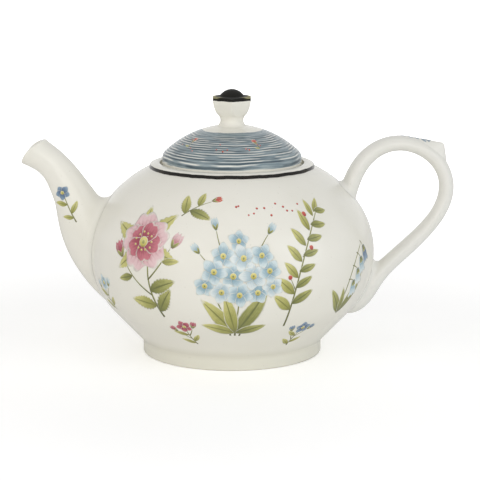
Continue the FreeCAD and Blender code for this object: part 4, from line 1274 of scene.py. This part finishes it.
@dataclass
class Decoration:
    """The sprays printed on the bowl, spout, handle and lid."""

    effects: Effects
    box: StrokeBox = field(default_factory=StrokeBox)
    spout_x: float = -97.0 * MM
    spout_height: float = 88.0 * MM
    spout_tilt: float = 24.0
    handle_x: float = 106.0 * MM

    def __post_init__(self) -> None:
        """Mixes the enamels."""
        self.colours = {enamel: enamel.value.make(self.effects) for enamel in Enamel}

    def drawn(self, name: str, motif: Callable[[Spray], None], seed: int, scale: float = 1.0) -> Spray:
        """A spray with its motif drawn, still flat.

        Args:
            name: the piece's name after the word print.
            motif: what is drawn.
            seed: starts its irregularities.
            scale: its size.

        Returns:
            The spray.
        """
        spray = Spray("print_" + name, self.box, self.colours, seed, scale)
        motif(spray)
        return spray

    def dress_bowl(self) -> None:
        """Lays the sprays that face the camera, then those of the far side."""
        seat = Seat("pot_body")
        for one in FRONT_PRINTS + BACK_PRINTS:
            spray = self.drawn(one.name, one.motif, one.seed, one.scale)
            out = outward(one.azimuth)
            start = out * RAY_START + Vector((0.0, 0.0, one.height * MM))
            spray.settle(seat.carrier, seat.spot(start, -out, one.tilt), "pot", "glaze_body")

    def dress_spout(self) -> None:
        """Lays a small sprig on both sides of the spout."""
        seat = Seat("spout")
        for side, name in ((-1.0, "front"), (1.0, "back")):
            spray = self.drawn("spout_" + name, Motifs.spout, seed=59, scale=1.2)
            start = Vector((self.spout_x, side * RAY_START, self.spout_height))
            spot = seat.spot(start, Vector((0.0, -side, 0.0)), tilt=-side * self.spout_tilt)
            spray.settle(seat.carrier, spot, "pot", "glaze_spout")

    def dress_handle(self) -> None:
        """Lays a sprig along the top of the handle."""
        seat = Seat("handle")
        spray = self.drawn("handle_crown", Motifs.crown, seed=71)
        spot = seat.spot(Vector((self.handle_x, 0.0, RAY_START)), DOWN, upright=(1.0, 0.0, 0.0))
        spray.settle(seat.carrier, spot, "pot", "glaze_handle")

    def dress_lid(self) -> None:
        """Scatters a few red buds and dots over the lid's brush lines."""
        seat = Seat("lid_dome")
        for name, motif, seed, azimuth, reach in (
            ("right", Motifs.lid_bud, 73, 30.0, 30.0),
            ("middle", Motifs.specks, 79, -4.0, 31.0),
            ("left", Motifs.lid_bud, 83, -50.0, 30.0),
            ("back", Motifs.lid_bud, 89, 170.0, 30.0),
        ):
            spray = self.drawn("lid_" + name, motif, seed)
            start = outward(azimuth) * reach * MM + Vector((0.0, 0.0, RAY_START))
            spray.settle(seat.carrier, seat.spot(start, DOWN), "lid", "glaze_lid")

    def dress(self) -> None:
        """Lays every spray."""
        self.dress_bowl()
        self.dress_spout()
        self.dress_handle()
        self.dress_lid()


class Lamp(NamedTuple):
    """A soft box: where it hangs, its width, power and tint, and whether the glaze mirrors it."""

    name: str
    place: Triple
    size: float
    watts: float
    tint: Triple
    mirrored: bool = True


LAMPS = (
    Lamp("soft_left", (-1.6, -1.1, 0.75), size=1.6, watts=7.4, tint=(1.0, 0.955, 0.89)),
    Lamp("soft_right", (1.6, -1.0, 0.65), size=1.5, watts=8.6, tint=(0.93, 0.965, 1.0)),
    Lamp("soft_top", (0.0, -0.2, 1.9), size=1.8, watts=2.5, tint=(1.0, 0.99, 0.97)),
    Lamp("soft_low", (0.0, -1.7, 0.10), size=1.4, watts=12.0, tint=(1.0, 0.985, 0.95)),
    Lamp("soft_back", (0.2, 1.7, 0.35), size=1.6, watts=10.0, tint=(1.0, 0.98, 0.95), mirrored=False),
)


@dataclass
class Studio:
    """A pale floor, soft light and the camera."""

    lens: float = 139.65
    sensor: float = 36.0
    clip_end: float = 50.0
    stand: Triple = (0.00475, -1.084, 0.278)
    tip: float = 78.94
    aim: Triple = (0.0, 0.0, 0.07)
    floor_size: float = 9.0
    paper: tuple[Colour, Colour] = (paint(250, 250, 250), paint(252, 252, 252))
    glow: float = 0.32
    glow_rise: float = 0.44
    glow_from: float = 0.15
    glow_to: float = 0.70
    sky: float = 0.44

    def lay_floor(self) -> None:
        """Lays the floor, white to the camera but for the pot's own shadow."""
        bpy.ops.object.select_all(action="DESELECT")
        bpy.ops.mesh.primitive_plane_add(size=self.floor_size)
        floor = bpy.context.object
        floor.name = "studio_floor"
        material = bpy.data.materials.new("studio_paper")
        material.use_nodes = True
        wires = Wiring(material.node_tree)
        place = wires.place()
        paper = wires.node("ShaderNodeBsdfDiffuse")
        grain = wires.noise(place, scale=6.0)
        wires.feed(paper.inputs["Color"], wires.mix(grain, *self.paper))
        glow = wires.node("ShaderNodeEmission")
        seen = wires.node("ShaderNodeLightPath").outputs["Is Camera Ray"]
        away = wires.step(wires.length(place), self.glow_from, self.glow_to)
        lift = wires.linear(away, self.glow_rise, self.glow)
        wires.feed(glow.inputs["Strength"], wires.times(seen, lift))
        both = wires.supply(wires.node("ShaderNodeAddShader"), {0: paper.outputs[0], 1: glow.outputs[0]})
        wires.feed(wires.node("ShaderNodeOutputMaterial").inputs["Surface"], both.outputs[0])
        floor.data.materials.append(material)

    def hang_lamps(self) -> None:
        """Hangs soft boxes: warm on the left, cooler on the right, one above, low ones before and behind."""
        for box in LAMPS:
            bpy.ops.object.light_add(type="AREA", location=box.place)
            lamp = bpy.context.object
            lamp.name = box.name
            lamp.data.size = box.size
            lamp.data.energy = box.watts
            lamp.data.color = box.tint
            lamp.visible_glossy = box.mirrored
            aim = Vector(self.aim) - Vector(box.place)
            lamp.rotation_euler = aim.to_track_quat("-Z", "Y").to_euler()

    def spread_sky(self) -> None:
        """Spreads a white sky that lights the pot less than it shows."""
        world = bpy.data.worlds.new("studio_sky")
        world.use_nodes = True
        wires = Wiring(world.node_tree)
        path = wires.node("ShaderNodeLightPath").outputs
        direct = wires.math("MAXIMUM", path["Is Camera Ray"], path["Is Transmission Ray"])
        shown = wires.math("MAXIMUM", direct, path["Is Glossy Ray"])
        strength = wires.linear(shown, 1.0 - self.sky, self.sky)
        white = (1.0, 1.0, 1.0, 1.0)
        sky = wires.supply(wires.node("ShaderNodeBackground"), {"Color": white, "Strength": strength})
        wires.feed(wires.node("ShaderNodeOutputWorld").inputs["Surface"], sky.outputs[0])
        bpy.context.scene.world = world

    def set_camera(self) -> None:
        """Stands the camera at the photograph's viewing angle."""
        bpy.ops.object.camera_add(location=self.stand, rotation=(math.radians(self.tip), 0.0, 0.0))
        camera = bpy.context.object
        camera.name = "studio_camera"
        camera.data.lens = self.lens
        camera.data.sensor_width = self.sensor
        camera.data.clip_end = self.clip_end
        bpy.context.scene.camera = camera

    def build(self) -> None:
        """Sets up the whole studio."""
        self.set_camera()
        self.lay_floor()
        self.hang_lamps()
        self.spread_sky()
        bpy.context.scene.view_settings.view_transform = "Standard"


def main() -> None:
    """Builds the studio, the glazes and the print in order."""
    logging.basicConfig(level=logging.INFO, format="%(name)s %(message)s")
    Studio().build()
    effects = Effects()
    Pot(effects).dress()
    Decoration(effects).dress()


if __name__ == "__main__":
    main()
